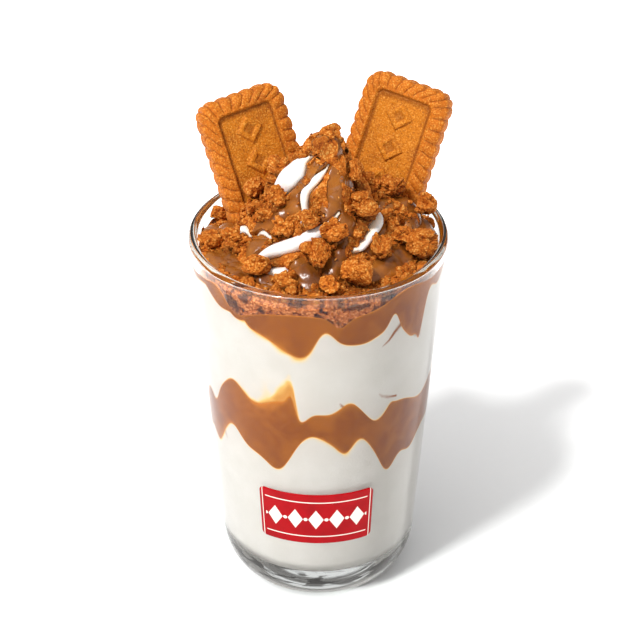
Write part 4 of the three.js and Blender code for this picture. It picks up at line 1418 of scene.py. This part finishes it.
@dataclass(frozen=True)
class Topping:
    """The swirl, the sauce and fine crumbs over it, and the crumb bed round it."""

    glass: Glass
    heap: Heap = Heap()

    def ground_rings(self, columns: int, count: int, outer: np.ndarray) -> np.ndarray:
        """Rings of points on the heap's ground, from an outer radius at each column up to the peak."""
        angle = (np.arange(columns) * 360 / columns)[None]
        most = float(np.max(outer))
        radius = self.heap.radii(count, most)[:, None] * outer[None] / most
        x, y, _ = np.moveaxis(polar(angle, radius, 0.0), -1, 0)
        return np.stack([x, y, self.heap.ground(x, y)], -1)

    def raised(self, ground: np.ndarray, thickness: np.ndarray, sink: float) -> np.ndarray:
        """Rings moved out from the ground along its normals, with one more ring below as a skirt.

        The normal is the cross product of the steps round and up the heap.

        Args:
            ground: rings on the ground.
            thickness: how far to move each point.
            sink: depth of the skirt.

        Returns:
            The rings, shifted sideways at the peak.
        """
        around = np.roll(ground, -1, axis=1) - np.roll(ground, 1, axis=1)
        normal = np.cross(around, np.gradient(ground, axis=0))
        normal /= np.maximum(np.linalg.norm(normal, axis=-1), 1e-9)[..., None]
        rings = ground + normal * thickness[..., None]
        rings = np.concatenate([rings[:1] - [0, 0, sink], rings])
        return rings + np.stack([self.heap.shift(rings[..., 2])] + [0 * rings[..., 2]] * 2, -1)

    def sheet(
        self, name: str, slot: Slot, rings: np.ndarray, under: float, values: dict, replaces: tuple = ()
    ) -> bpy.types.Object:
        """Makes a piece from the rings that raised() gives.

        Args:
            name: name of the piece.
            slot: its slot.
            rings: its skirt, and the rings from it up to the peak.
            under: how far below the rim the point that closes it lies.
            values: values for each ring but the skirt, which takes the first ring's.
            replaces: CAD nodes that it stands for.

        Returns:
            The piece.
        """
        kept = {key: np.concatenate([value[:1], value]) for key, value in values.items()}
        surface = ring_stack(rings, np.array([0, 0, RIM - under]), rings[-1].mean(0), kept)
        return surface.make(name, slot, replaces)

    def swirl(self) -> bpy.types.Object:
        """The ice cream of the swirl, bare in its folds."""
        columns, rows = 440, 190
        ground = self.ground_rings(columns, rows, self.heap.edge(np.arange(columns) * 360 / columns))
        rings = self.raised(ground, self.heap.cream(ground) + 0.1 * soft_noise(ground, 2.6, 17, 2), 5)
        _, gap = self.heap.folds(ground)
        streak = smoothstep(soft_noise(ground * [1, 1, 0.4], 1.7, 23, 2), 0.25, 0.9) * 0.16
        smear = np.maximum(0.55 * smoothstep(gap, -0.25, 0.3), streak)
        values = {"amber": 0.2 * smoothstep(gap, -1.0, 0.0), "smear": smear}
        return self.sheet("soft_swirl", Slot.ICE_CREAM, rings, 16.0, values, ("swirl",))

    def painted_chunk_shade(self, points: np.ndarray) -> np.ndarray:
        """Share of painted shade round the chunks: 1 under a chunk, dying away to 0 at 1.2 mm beside it."""
        boxes = [np.array(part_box(name)) / MM for name in chunk_names()]
        circles = [(*box.mean(0)[:2], 0.42 * (box[1] - box[0])[:2].mean()) for box in boxes]
        return 1 - smoothstep(near_circles(points[..., 0], points[..., 1], circles), -0.6, 1.2)

    def drizzle(self) -> bpy.types.Object:
        """The sauce over the swirl, as thick as it stands, out to the glass where bands reach it."""
        columns, rows, outer = 460, 195, 39.9
        ground = self.ground_rings(columns, rows, np.full(columns, outer))
        rings = self.glass.keep_inside(self.raised(ground, self.heap.sauce(ground), 4), -1.1)
        thin = 0.3 * smoothstep(soft_noise(ground, 6, 41, 2), 0.1, 0.9)
        # deep: painted shade in the gaps beside the chunks
        values = {"thin": thin, "deep": 0.4 * self.painted_chunk_shade(ground)}
        return self.sheet("drizzled_sauce", Slot.SAUCE, rings, 14.0, values)

    def crust(self) -> bpy.types.Object:
        """Fine crumbs that cover the sauce between its bands, as one rough sheet, with painted shade in the
        valleys, in blotches and beside the chunks.
        """
        columns, rows, outer = 500, 198, 40.6
        ground = self.ground_rings(columns, rows, np.full(columns, outer))
        thickness, lumps = self.heap.crumbs(ground)
        rings = self.glass.keep_inside(self.raised(ground, thickness, 3), -0.9)
        ridges = self.heap.ridges(ground[..., 0], ground[..., 1])
        # painted shade in the valleys between the ridges
        valley_shade = smoothstep(-ridges / self.heap.ridge, 0.1, 0.45)
        # blotches of painted shade, standing for hollows
        painted_hollows = smoothstep(soft_noise(ground, 4.5, 19, 2), -0.1, 0.9)
        # all of it painted shade: blotches, valleys and the gaps beside chunks
        tone_and_painted_shade = np.maximum(0.5 * painted_hollows, 0.7 * np.maximum(valley_shade, self.painted_chunk_shade(ground)))
        values = {"raised": np.clip(lumps * 1.35 - 0.25, 0, 1), "tone_and_painted_shade": tone_and_painted_shade}
        return self.sheet("crumb_crust", Slot.CRUMB, rings, 13.0, values)

    def bed(self) -> bpy.types.Object:
        """The crumb bed: packed grains that press on the glass, with gaps between them that are hollow and
        also painted dark, and patches of painted shade.
        """
        columns, rows = 760, 34
        angle = (np.arange(columns) * 360 / columns)[None]
        foot = CRUMB_FOOT.height(angle)
        rim_x, rim_y, _ = np.moveaxis(polar(angle, self.glass.inner(RIM), 0.0), -1, 0)
        top = crumb_top(rim_x, rim_y) + 0.6
        z = foot + (top - foot) * np.linspace(0, 1, rows)[:, None]
        wall = polar(angle, self.glass.contents(z), z)
        reach = np.array([0.4, 0.8])[:, None]
        level = CRUMB_FOOT.inside
        under = polar(angle, self.glass.inner(level) * reach, level + (foot - level) * reach**3)
        inward = np.concatenate([np.linspace(0.99, 0.8, 24), [0.5, 0.25]])[:, None]
        radius = self.glass.inner(top) * inward
        x, y, _ = np.moveaxis(polar(angle, radius, 0.0), -1, 0)
        face = np.stack([x, y, crumb_top(x, y) + 0.6 * smoothstep(radius, 36, 40)], -1)
        rings = np.concatenate([under, wall, face])
        lumps = 0.4 * grains(rings, 3.0, 7) + 0.35 * grains(rings, 1.6, 8) + 0.25 * grains(rings, 0.9, 9)
        side, upper = slice(len(under), len(under) + rows), slice(len(under) + rows, None)
        share = np.zeros((len(rings), 1))
        share[side, 0] = smoothstep(np.arange(rows), 0, 4)
        depth = 1.5 * (1 - smoothstep(lumps, 0.18, 0.5)) * share
        loose = smoothstep(np.abs(turn_between(angle, 0)), 40, 62)
        depth[side] += 1.3 * np.maximum(smoothstep(rings[side, :, 2], top - 3, top - 0.6), loose)
        rings = drawn_in(rings, 1 - depth / np.hypot(rings[..., 0], rings[..., 1]))
        rings[upper, :, 2] += (lumps[upper] - 0.6) * 1.4
        rings = self.glass.keep_inside(rings, INTO_WALL)
        # raised sets painted shade in the gaps between grains
        raised = smoothstep(lumps, 0.38, 0.8)
        # patches of painted shade
        tone_and_painted_shade = smoothstep(soft_noise(rings, 2.6, 19, 3), -0.1, 0.55)
        first, last = (np.array([0, 0, middle]) for middle in (level, RIM - BED_DEPTH))
        surface = ring_stack(rings, first, last, {"raised": raised, "tone_and_painted_shade": tone_and_painted_shade})
        return surface.make("crumb_bed", Slot.CRUMB, ("crumb_layer",), at_glass=True)

    def build(self) -> None:
        """The bed, the swirl, the sauce and the fine crumbs."""
        self.bed()
        self.swirl()
        self.drizzle()
        self.crust()


# ---------------------------------------------------------------- crumbs


@dataclass(frozen=True)
class Cluster:
    """Crumbs dropped round a point: how far they spread, and how many lumps and bits there are."""

    x: float
    y: float
    spread: float
    lumps: int
    bits: int


CLUSTERS = (
    Cluster(-19.7, 0.5, 2.6, 4, 9), Cluster(-14.4, -4.3, 2.6, 4, 10), Cluster(-10.2, -11.0, 2.2, 3, 9),
    Cluster(-17.7, -7.7, 2.6, 4, 9), Cluster(20.6, 3.1, 2.6, 3, 9), Cluster(25.4, 1.6, 2.6, 4, 9),
    Cluster(27.6, 7.9, 2.6, 3, 7), Cluster(23.0, -2.6, 2.2, 2, 7), Cluster(-5.0, -17.4, 2.2, 3, 8),
    Cluster(0.4, -15.2, 1.4, 0, 4), Cluster(2.6, -21.0, 2.0, 3, 8), Cluster(8.9, -16.2, 2.0, 2, 7),
    Cluster(16.2, -20.8, 2.2, 2, 7), Cluster(22.8, -17.5, 1.8, 1, 6), Cluster(10.8, -25.4, 2.0, 3, 8),
    Cluster(6.0, -33.4, 3.0, 4, 10), Cluster(25.0, -24.5, 2.2, 3, 7), Cluster(-33, 13, 2.4, 3, 8),
    Cluster(-25.0, -12.6, 2.4, 4, 9), Cluster(-13.6, -18.2, 1.8, 2, 6), Cluster(-22.4, -21.8, 2.2, 3, 8),
    Cluster(-10.8, -31.7, 2.6, 4, 9), Cluster(-1.0, -33.5, 2.0, 2, 6), Cluster(35.0, 9.0, 2.4, 3, 8),
    Cluster(34.8, -6.0, 2.6, 3, 8), Cluster(30.5, -21.0, 2.4, 3, 8), Cluster(20.0, -30.0, 2.8, 4, 9),
    Cluster(-36.0, -6.0, 2.4, 3, 8), Cluster(-31.5, -22.5, 2.2, 3, 7), Cluster(-22.0, -31.0, 2.0, 2, 6),
    Cluster(1.0, -4.2, 1.8, 0, 9), Cluster(3.2, -1.6, 1.8, 2, 12), Cluster(-1.8, -1.8, 1.8, 1, 10),
    Cluster(7.2, -2.4, 1.6, 0, 5), Cluster(-6.0, -1.4, 1.2, 0, 6), Cluster(-2.6, -8.2, 1.2, 1, 5),
    Cluster(5, 14, 4.0, 5, 12), Cluster(-12, 10, 3.6, 5, 12), Cluster(-6, 24, 4.4, 6, 14),
    Cluster(17, 8, 2.6, 3, 10), Cluster(13, 27, 4.0, 5, 12), Cluster(-28, 22, 3.2, 4, 10),
    Cluster(-20, 30, 3.4, 4, 10), Cluster(31, 20, 3.2, 4, 10), Cluster(24, 31, 3.4, 4, 10),
)


def clump_radius(
    directions: np.ndarray, random: np.random.Generator, pieces: int = 7, planes: int = 9
) -> np.ndarray:
    """Radius of a broken clump in each direction: angular pieces stuck together.

    Each piece is cut by planes at random distances from its own centre, so along a direction it
    reaches to its nearest plane. The clump reaches as far as its longest piece does.

    Args:
        directions: unit directions of shape (n, 3).
        random: the random numbers.
        pieces: how many pieces there are.
        planes: how many planes cut each.

    Returns:
        Radii of shape (n,), about 1 at most.
    """
    radius = np.full(len(directions), 0.35)
    for _ in range(pieces):
        normals = random.normal(size=(planes, 3))
        normals /= np.linalg.norm(normals, axis=1)[:, None]
        centre = normals[0] * random.uniform(0.3, 0.62)
        offset = np.maximum(random.uniform(0.24, 0.42, planes) + normals @ centre, 0.1)
        along = np.maximum(directions @ normals.T, 0.06)
        radius = np.maximum(radius, np.minimum((offset / along).min(1), 1.05))
    return radius


def crumbled(
    points: np.ndarray, outward: np.ndarray, seed: int, depth: float
) -> tuple[np.ndarray, np.ndarray]:
    """Moves a clump's points in and out by grains of three sizes.

    Args:
        points: its points.
        outward: the direction out of it at each.
        seed: seed of the grains.
        depth: how far they reach.

    Returns:
        The points, moved, and how high each grain stands.
    """
    sizes = ((0.38, 2.3), (0.38, 1.15), (0.24, 0.65))
    rough = sum(share * grains(points, cell, seed + i) for i, (share, cell) in enumerate(sizes))
    swell = depth * (rough - 0.62) + 0.35 * soft_noise(points, 3.0, seed + 3, 2)
    return points + outward * swell[:, None], rough


@dataclass(frozen=True)
class CrumbKind:
    """A kind of loose crumb, named as a cluster's count of it is.

    Sizes run from low to high. It lies up to on_sauce in from a sauce band's edge, with a share sunk, and
    has across squares along each side of its ball's six grids.
    """

    name: str
    seed: int
    low: float
    high: float
    on_sauce: float
    sunk: float
    across: int


LUMPS = CrumbKind("lumps", 0, 3.0, 5.4, 0.6, 0.4, 11)
BITS = CrumbKind("bits", 1, 1.2, 3.0, 1.0, 0.35, 3)


@dataclass(frozen=True)
class Crumbs:
    """Chunks, lumps, bits and specks of biscuit on the topping."""

    topping: Topping
    seed: int = 9
    speck_count: int = 1700

    def seat(self, x: np.ndarray, y: np.ndarray, size: np.ndarray, sunk: float) -> np.ndarray:
        """Centres of crumbs that lie on the topping at x, y, sunk by a share of their size.

        Each is moved out along the ground's normal, found from the heights a little to each side.

        Args:
            x: first coordinates.
            y: second coordinates.
            size: size of each crumb.
            sunk: share of the size that lies below the surface.

        Returns:
            Centres of shape (count, 3).
        """
        heap, step = self.topping.heap, 0.4
        slope_x = (heap.ground(x + step, y) - heap.ground(x - step, y)) / (2 * step)
        slope_y = (heap.ground(x, y + step) - heap.ground(x, y - step)) / (2 * step)
        normal = np.stack([-slope_x, -slope_y, np.ones_like(x)], -1)
        normal /= np.linalg.norm(normal, axis=-1)[:, None]
        ground = np.stack([x, y, heap.ground(x, y)], -1)
        centre = ground + normal * (heap.top(ground) + size * (0.5 - sunk))[:, None]
        return centre + np.stack([heap.shift(centre[:, 2]), 0 * x, 0 * x], -1)

    def clear_places(self, x: np.ndarray, y: np.ndarray, on_sauce: float) -> np.ndarray:
        """True for places off the white folds, inside the glass and out of the space kept free behind.

        Args:
            x: first coordinates.
            y: second coordinates.
            on_sauce: how far in from a sauce band's edge crumbs may lie.

        Returns:
            One truth value for each place.
        """
        heap = self.topping.heap
        ground = np.stack([x, y, heap.ground(x, y)], -1)
        _, fold_gap = heap.folds(ground)
        _, band_gap = heap.bands(ground)
        free = (np.abs(x) < 13) & (y > 32.5)
        return (fold_gap > 0.2) & (band_gap > -on_sauce) & (np.hypot(x, y) < 39.0) & ~free

    def scattered(
        self, centres: np.ndarray, size: np.ndarray, across: int, random: np.random.Generator
    ) -> Surface:
        """Crumbs of one kind: a rough ball, squeezed and turned at random for each.

        Args:
            centres: middle of each crumb.
            size: width of each crumb.
            across: squares along each side of the ball's six grids.
            random: the random numbers.

        Returns:
            All of them as one surface, with the values raised and tone.
        """
        ball = unit_ball(across)
        count = len(centres)
        turn = random.normal(size=(count, 4))
        turn /= np.linalg.norm(turn, axis=1)[:, None]
        w, i, j, k = turn.T
        matrix = np.stack([
            1 - 2 * (j * j + k * k), 2 * (i * j - k * w), 2 * (i * k + j * w),
            2 * (i * j + k * w), 1 - 2 * (i * i + k * k), 2 * (j * k - i * w),
            2 * (i * k - j * w), 2 * (j * k + i * w), 1 - 2 * (i * i + j * j),
        ], -1).reshape(-1, 3, 3)
        squeeze = random.uniform(0.75, 1.2, (count, 1, 3))
        reach = np.stack([clump_radius(ball.points, random, 3, 8) for _ in range(count)])
        local = ball.points[None] * reach[..., None] * squeeze * (size / 1.75)[:, None, None]
        local = np.einsum("nij,nkj->nki", matrix, local)
        points = (local + centres[:, None]).reshape(-1, 3)
        outward = (local / np.maximum(np.linalg.norm(local, axis=-1), 1e-9)[..., None]).reshape(-1, 3)
        depth = 0.8 if across > 4 else 0.3
        points, rough = crumbled(points, outward, 3, depth)
        starts = (np.arange(count) * len(ball.points))[:, None, None]
        quads = (ball.quads[None] + starts).reshape(-1, 4)
        # painted shade on each crumb's underside, over a random darkening of its own
        up = (local[..., 2] / size[:, None]).ravel()
        own = np.repeat(random.uniform(0, 0.35, count), len(ball.points))
        tone_and_painted_shade = np.maximum(own, 1 - smoothstep(up, -0.4, -0.05))
        values = {"raised": np.clip(rough * 1.3 - 0.2, 0, 1), "tone_and_painted_shade": tone_and_painted_shade}
        return Surface(self.topping.glass.keep_inside(points), quads, values=values)

    def dropped(self, kind: CrumbKind) -> bpy.types.Object:
        """Crumbs of one kind, dropped in the clusters.

        Args:
            kind: their kind.

        Returns:
            The piece.
        """
        random = np.random.default_rng(self.seed + kind.seed)
        counts = [getattr(cluster, kind.name) for cluster in CLUSTERS]
        at = np.repeat([(c.x, c.y, c.spread) for c in CLUSTERS], counts, axis=0)
        place = at[:, :2] + at[:, 2:] * 0.75 * random.normal(size=(len(at), 2))
        size = kind.low + (kind.high - kind.low) * random.uniform(0, 1, len(at)) ** 1.5
        kept = self.clear_places(place[:, 0], place[:, 1], kind.on_sauce)
        x, y, size = place[kept, 0], place[kept, 1], size[kept]
        surface = self.scattered(self.seat(x, y, size, kind.sunk), size, kind.across, random)
        return surface.make(f"crumb_{kind.name}", Slot.CRUMB)

    def specks(self) -> bpy.types.Object:
        """Crumbs of 0.5 to 1.5 mm, denser near the clusters, some of them on the sauce."""
        random = np.random.default_rng(self.seed + 2)
        many = self.speck_count * 3
        radius = 38.6 * np.sqrt(random.uniform(0.002, 1, many))
        x, y, _ = polar(random.uniform(0, 360, many), radius, 0.0).T
        near = sum(bell(np.hypot(x - c.x, y - c.y), c.spread * 1.8) for c in CLUSTERS)
        depth = np.where(random.uniform(0, 1, many) < 0.12, 9.0, 0.8)
        wanted = random.uniform(0, 1, many) < 0.15 + 0.85 * np.minimum(near, 1)
        kept = self.clear_places(x, y, depth) & wanted
        x, y = x[kept][: self.speck_count], y[kept][: self.speck_count]
        size = 0.55 + 1.0 * random.uniform(0, 1, len(x)) ** 2
        return self.scattered(self.seat(x, y, size, 0.3), size, 2, random).make("crumb_specks", Slot.CRUMB)

    def chunks(self) -> None:
        """The large chunks, one piece for each CAD chunk, in the box that the CAD model gives it."""
        for number, name in enumerate(chunk_names()):
            random = np.random.default_rng(self.seed + 10 + number)
            low, high = (np.array(corner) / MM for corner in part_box(name))
            size = (high - low).max()
            ball = unit_ball(32 if size > 8.5 else 25)
            points = ball.points * clump_radius(ball.points, random)[:, None] * size / 2
            points, rough = crumbled(points, ball.points, 100 + 7 * number, min(1.5, 0.16 * size))
            least, most = points.min(0), points.max(0)
            scale = np.clip((high - low) * 1.06 / (most - least), 0.7, 1.4)
            points = (points - (least + most) / 2) * scale + (low + high) / 2
            # painted shade on the lower part of each chunk, over a random darkening of its own
            up = (points[:, 2] - low[2]) / (high - low)[2]
            tone_and_painted_shade = np.maximum(0.25 * random.uniform(), 1 - smoothstep(up, 0.02, 0.42))
            values = {"raised": np.clip(rough * 1.3 - 0.2, 0, 1), "tone_and_painted_shade": tone_and_painted_shade}
            points = self.topping.glass.keep_inside(points)
            Surface(points, ball.quads, values=values).make(f"crumb_{name}", Slot.CRUMB, (name,))

    def build(self) -> None:
        """All of them, the largest first."""
        self.chunks()
        self.dropped(LUMPS)
        self.dropped(BITS)
        self.specks()


# ---------------------------------------------------------------- biscuits


@dataclass(frozen=True)
class Biscuit:
    """Caramelised biscuit: scalloped edge, rope-like border, pressed panel with raised lozenges."""

    name: str
    at: tuple
    lean: float
    roll: float
    turn: float
    seed: int
    width: float = 31.5
    length: float = 60.0
    thickness: float = 8.0
    corner: float = 6.0
    scallops: int = 40
    scallop_depth: float = 1.1
    panel_width: float = 19.0
    panel_length: float = 48.0
    panel_depth: float = 1.3
    panel_corner: float = 2.0
    lozenge: float = 5.0
    lozenge_height: float = 0.9
    lozenge_places: tuple = (-17.3, -6.0, 6.0, 17.3)
    slant: float = 0.9
    columns: int = 640

    def section(self) -> np.ndarray:
        """Cross-section from the panel's edge over the border and side to the back.

        Returns:
            Rows of (share of the way from panel to outline, extra distance out, height, groove strength).
        """
        half = self.thickness / 2
        v = np.linspace(0, 1, 26)
        crown = half - 1.1 * ((v - 0.42) / 0.58) ** 2 * (v > 0.42)
        crown = crown - self.panel_depth * (1 - smoothstep(v, 0, 0.2))
        border = np.stack([0.86 * v, 0 * v, crown, smoothstep(v, 0.08, 0.42)], -1)
        turn = np.linspace(0.12, 1, 12) * np.pi / 2
        inner = 0.14 * (self.width - self.panel_width) / 2
        shoulder_z = crown[-1] - 2.2 * (1 - np.cos(turn))
        shoulder = np.stack([np.full(12, 0.86), inner * np.sin(turn), shoulder_z, np.ones(12)], -1)
        side_z = np.linspace(shoulder[-1, 2], -half + 1.1, 9)[1:]
        side = np.stack([np.full(8, 1.0), np.zeros(8), side_z, np.linspace(1, 0.75, 8)], -1)
        low = np.linspace(0.1, 1, 7) * np.pi / 2
        foot_z = -half + 1.1 - 1.1 * np.sin(low)
        foot = np.stack([np.ones(7), -1.1 * (1 - np.cos(low)), foot_z, np.linspace(0.7, 0.3, 7)], -1)
        return np.concatenate([border, shoulder, side, foot])

    def lozenges(self, x: np.ndarray, y: np.ndarray) -> np.ndarray:
        """Height of the raised lozenges: a raised outline round a shallow middle, by |x|/a + |y|/a."""
        total = np.zeros(np.shape(x))
        for place in self.lozenge_places:
            span = (np.abs(x) + np.abs(y - place)) / self.lozenge
            outline = 1 - smoothstep(span, 0.84, 1.04)
            dish = 0.62 * (1 - smoothstep(span, 0.36, 0.6))
            total = np.maximum(total, self.lozenge_height * outline * (1 - dish))
        return total

    def flat(self) -> Surface:
        """The biscuit lying flat, its face up: panel, border, side and back as rings round its middle."""
        step = np.arange(self.columns) * self.scallops / self.columns
        panel, _ = rounded_frame(step, self.panel_width, self.panel_length, self.panel_corner)
        outline, out = rounded_frame(step, self.width, self.length, self.corner)
        half = self.thickness / 2
        floor = half - self.panel_depth
        shares = np.linspace(0.02, 0.985, 58)
        face = panel[None] * shares[:, None, None]
        soft_edge = 0.25 * smoothstep(shares, 0.93, 1.0)[:, None]
        face_z = floor + self.lozenges(face[..., 0], face[..., 1]) + soft_edge
        face = np.concatenate([face, face_z[..., None]], -1)
        rows = self.section()
        lean = rows[:, :1] * self.slant
        ridge = np.abs(np.sin(np.pi * (step[None] + lean))) ** 0.5 - 1
        cut = self.scallop_depth * ridge * rows[:, 3:]
        across = panel[None] + (outline - panel)[None] * rows[:, :1, None]
        outwards = rows[:, 1:2] + cut * smoothstep(rows[:, :1], 0.5, 1.0)
        border = across + out[None] * outwards[..., None]
        down = cut * 0.6 * (1 - smoothstep(-rows[:, 2:3], -half + 1.0, -0.5))
        border = np.concatenate([border, (rows[:, 2:3] + down)[..., None]], -1)
        back_share = np.linspace(1, 0.03, 16)[1:, None, None]
        back = np.concatenate([border[-1:, :, :2] * back_share, np.full((15, self.columns, 1), -half)], -1)
        rings = np.concatenate([face, border, back])
        rim = np.concatenate([np.zeros(len(face)), smoothstep(rows[:, 0], 0.0, 0.25), np.full(15, 0.6)])
        no_face, no_back = np.zeros((len(face), self.columns)), np.zeros((15, self.columns))
        deep = np.concatenate([no_face, -cut / self.scallop_depth, no_back])
        border_edge = 0.6 * (1 - smoothstep(rows[:, 0], 0.0, 0.12))
        panel_edge = np.concatenate([smoothstep(shares, 0.9, 0.985) * 0.55, border_edge, np.zeros(15)])
        raised_edge = np.zeros(rings.shape[:2])
        height = self.lozenges(face[..., 0], face[..., 1]) / self.lozenge_height
        raised_edge[: len(face)] = 0.5 * np.clip(1 - np.abs(height - 0.3) / 0.3, 0, 1)
        # painted shade in the scallop grooves, along the panel's edge and on the lozenges' raised outlines
        groove = np.maximum(np.maximum(smoothstep(deep, 0.35, 1.0) * 0.8, panel_edge[:, None]), raised_edge)
        seeded = rings + 100 * self.seed
        rough = 0.16 * soft_noise(seeded, 2.4, 11, 2) + 0.10 * (grains(seeded, 0.9, 12) - 0.5)
        rings = rings + rough[..., None] * np.array([0.3, 0.3, 1.0])
        values = {"rim": np.broadcast_to(rim[:, None], rings.shape[:2]), "groove": groove}
        first, last = np.array([0, 0, floor]), np.array([0, 0, -half])
        return ring_stack(rings[::-1], last, first, {key: value[::-1] for key, value in values.items()})

    def build(self, glass: Glass) -> bpy.types.Object:
        """The biscuit stood up and pressed into its place: turned by quarter, turn, roll and lean.

        Args:
            glass: keeps its hidden end off the wall.

        Returns:
            The piece.
        """
        surface = self.flat()

        def about(axis: int, degrees: float) -> np.ndarray:
            """Rotation matrix about an axis."""
            c, s = np.cos(np.radians(degrees)), np.sin(np.radians(degrees))
            matrix = np.eye(3)
            i, j = (axis + 1) % 3, (axis + 2) % 3
            matrix[i, i], matrix[i, j], matrix[j, i], matrix[j, j] = c, -s, s, c
            return matrix

        matrix = about(0, -self.lean) @ about(1, self.roll) @ about(2, self.turn) @ about(0, 90)
        surface.points = glass.keep_inside(surface.points @ matrix.T + np.array(self.at))
        return surface.make(f"baked_{self.name}", Slot.BISCUIT, (self.name,))


BISCUITS = (
    Biscuit("biscuit_left", (-19.3, 17.3, RIM + 11), 18, -17.1, 22.3, 1),
    Biscuit("biscuit_right", (23.4, 23.6, RIM + 12.5), 18, 17.5, -19.3, 2),
)


# ---------------------------------------------------------------- studio


@dataclass(frozen=True)
class Studio:
    """Pale floor, soft light and the camera."""

    lens: float = 113.1
    distance: float = 0.700
    elevation: float = 33.05
    aim: tuple = (0.00056, 0.0, 0.1016)
    floor_half: float = 3.0
    floor_level: float = -0.0002

    def camera(self) -> bpy.types.Object:
        """The camera, at its distance and elevation from the aim point."""
        data = bpy.data.cameras.new("camera")
        data.lens = self.lens
        data.sensor_width = 36
        data.clip_start = 0.01
        camera = placed("camera", data)
        tilt = np.radians(self.elevation)
        back = np.array([0, -np.cos(tilt), np.sin(tilt)])
        camera.location = np.array(self.aim) + back * self.distance
        camera.rotation_euler = (np.pi / 2 - tilt, 0, 0)
        bpy.context.scene.camera = camera
        return camera

    def floor(self) -> bpy.types.Object:
        """Pale floor just under the glass, with a painted shadow under its foot, and a painted glow that
        grows further out.
        """
        corners = [
            (x * self.floor_half, y * self.floor_half, self.floor_level)
            for x, y in ((-1, -1), (1, -1), (1, 1), (-1, 1))
        ]
        mesh = bpy.data.meshes.new("floor")
        mesh.from_pydata(corners, [], [(0, 1, 2, 3)])
        s = Shader("floor")
        pale = s.mix(s.noise(120, 2), linear(243, 243, 243), linear(247, 247, 247))
        away = s.add("ShaderNodeVectorMath", operation="LENGTH")
        s.feed(away.inputs[0], s.place)
        s.principled(
            # painted shadow: dark grey under the glass's foot
            Base_Color=s.mix(s.between(away.outputs["Value"], 0.022, 0.028), linear(60, 61, 61), pale),
            Roughness=0.9,
            Specular_IOR_Level=0.1,
            # painted light: the floor glows more further from the glass, which lightens the shadow there
            Emission_Color=linear(255, 255, 255),
            Emission_Strength=s.between(away.outputs["Value"], 0.03, 0.5),
        )
        mesh.materials.append(s.material)
        floor = placed("floor", mesh)
        return floor

    def world(self) -> None:
        """Soft light from all round: bright overhead, dim towards the horizon."""
        world = bpy.data.worlds.new("studio")
        world.use_nodes = True
        tree = world.node_tree
        tree.nodes.clear()
        coordinates = tree.nodes.new("ShaderNodeTexCoord")
        split = tree.nodes.new("ShaderNodeSeparateXYZ")
        ramp = tree.nodes.new("ShaderNodeValToRGB")
        background = tree.nodes.new("ShaderNodeBackground")
        output = tree.nodes.new("ShaderNodeOutputWorld")
        tree.links.new(coordinates.outputs["Generated"], split.inputs[0])
        tree.links.new(split.outputs["Z"], ramp.inputs["Fac"])
        tree.links.new(ramp.outputs["Color"], background.inputs["Color"])
        tree.links.new(background.outputs[0], output.inputs["Surface"])
        elements = ramp.color_ramp.elements
        elements[0].position, elements[0].color = 0.06, (0.04, 0.04, 0.04, 1)
        elements[1].position, elements[1].color = 0.55, (1, 1, 1, 1)
        background.inputs["Strength"].default_value = 0.72
        bpy.context.scene.world = world

    def lamp(
        self, name: str, angle: float, elevation: float, strength: float, width: float
    ) -> bpy.types.Object:
        """A distant soft lamp.

        Args:
            name: its name.
            angle: where it stands round the glass, in degrees.
            elevation: how high it stands, in degrees.
            strength: its power.
            width: how wide it looks, in degrees.

        Returns:
            The lamp.
        """
        data = bpy.data.lights.new(name, "SUN")
        data.energy = strength
        data.angle = np.radians(width)
        lamp = placed(name, data)
        lamp.rotation_euler = (np.radians(90 - elevation), 0, np.radians(angle))
        return lamp

    def build(self) -> None:
        """All of it, the camera first."""
        self.camera()
        self.floor()
        self.world()
        self.lamp("key", -46, 56.5, 2.98, 8)
        scene = bpy.context.scene
        scene.view_settings.view_transform = "Standard"
        scene.view_settings.look = "None"


def main() -> None:
    """Builds the studio and then the dessert, from the glass up."""
    logging.basicConfig(level=logging.INFO, format="%(name)s: %(message)s", stream=sys.stdout)
    Studio().build()
    glass = Glass()
    glass.build()
    Label().build(glass)
    Layers(glass).build()
    topping = Topping(glass)
    topping.build()
    Crumbs(topping).build()
    for biscuit in BISCUITS:
        biscuit.build(glass)


if __name__ == "__main__":
    main()
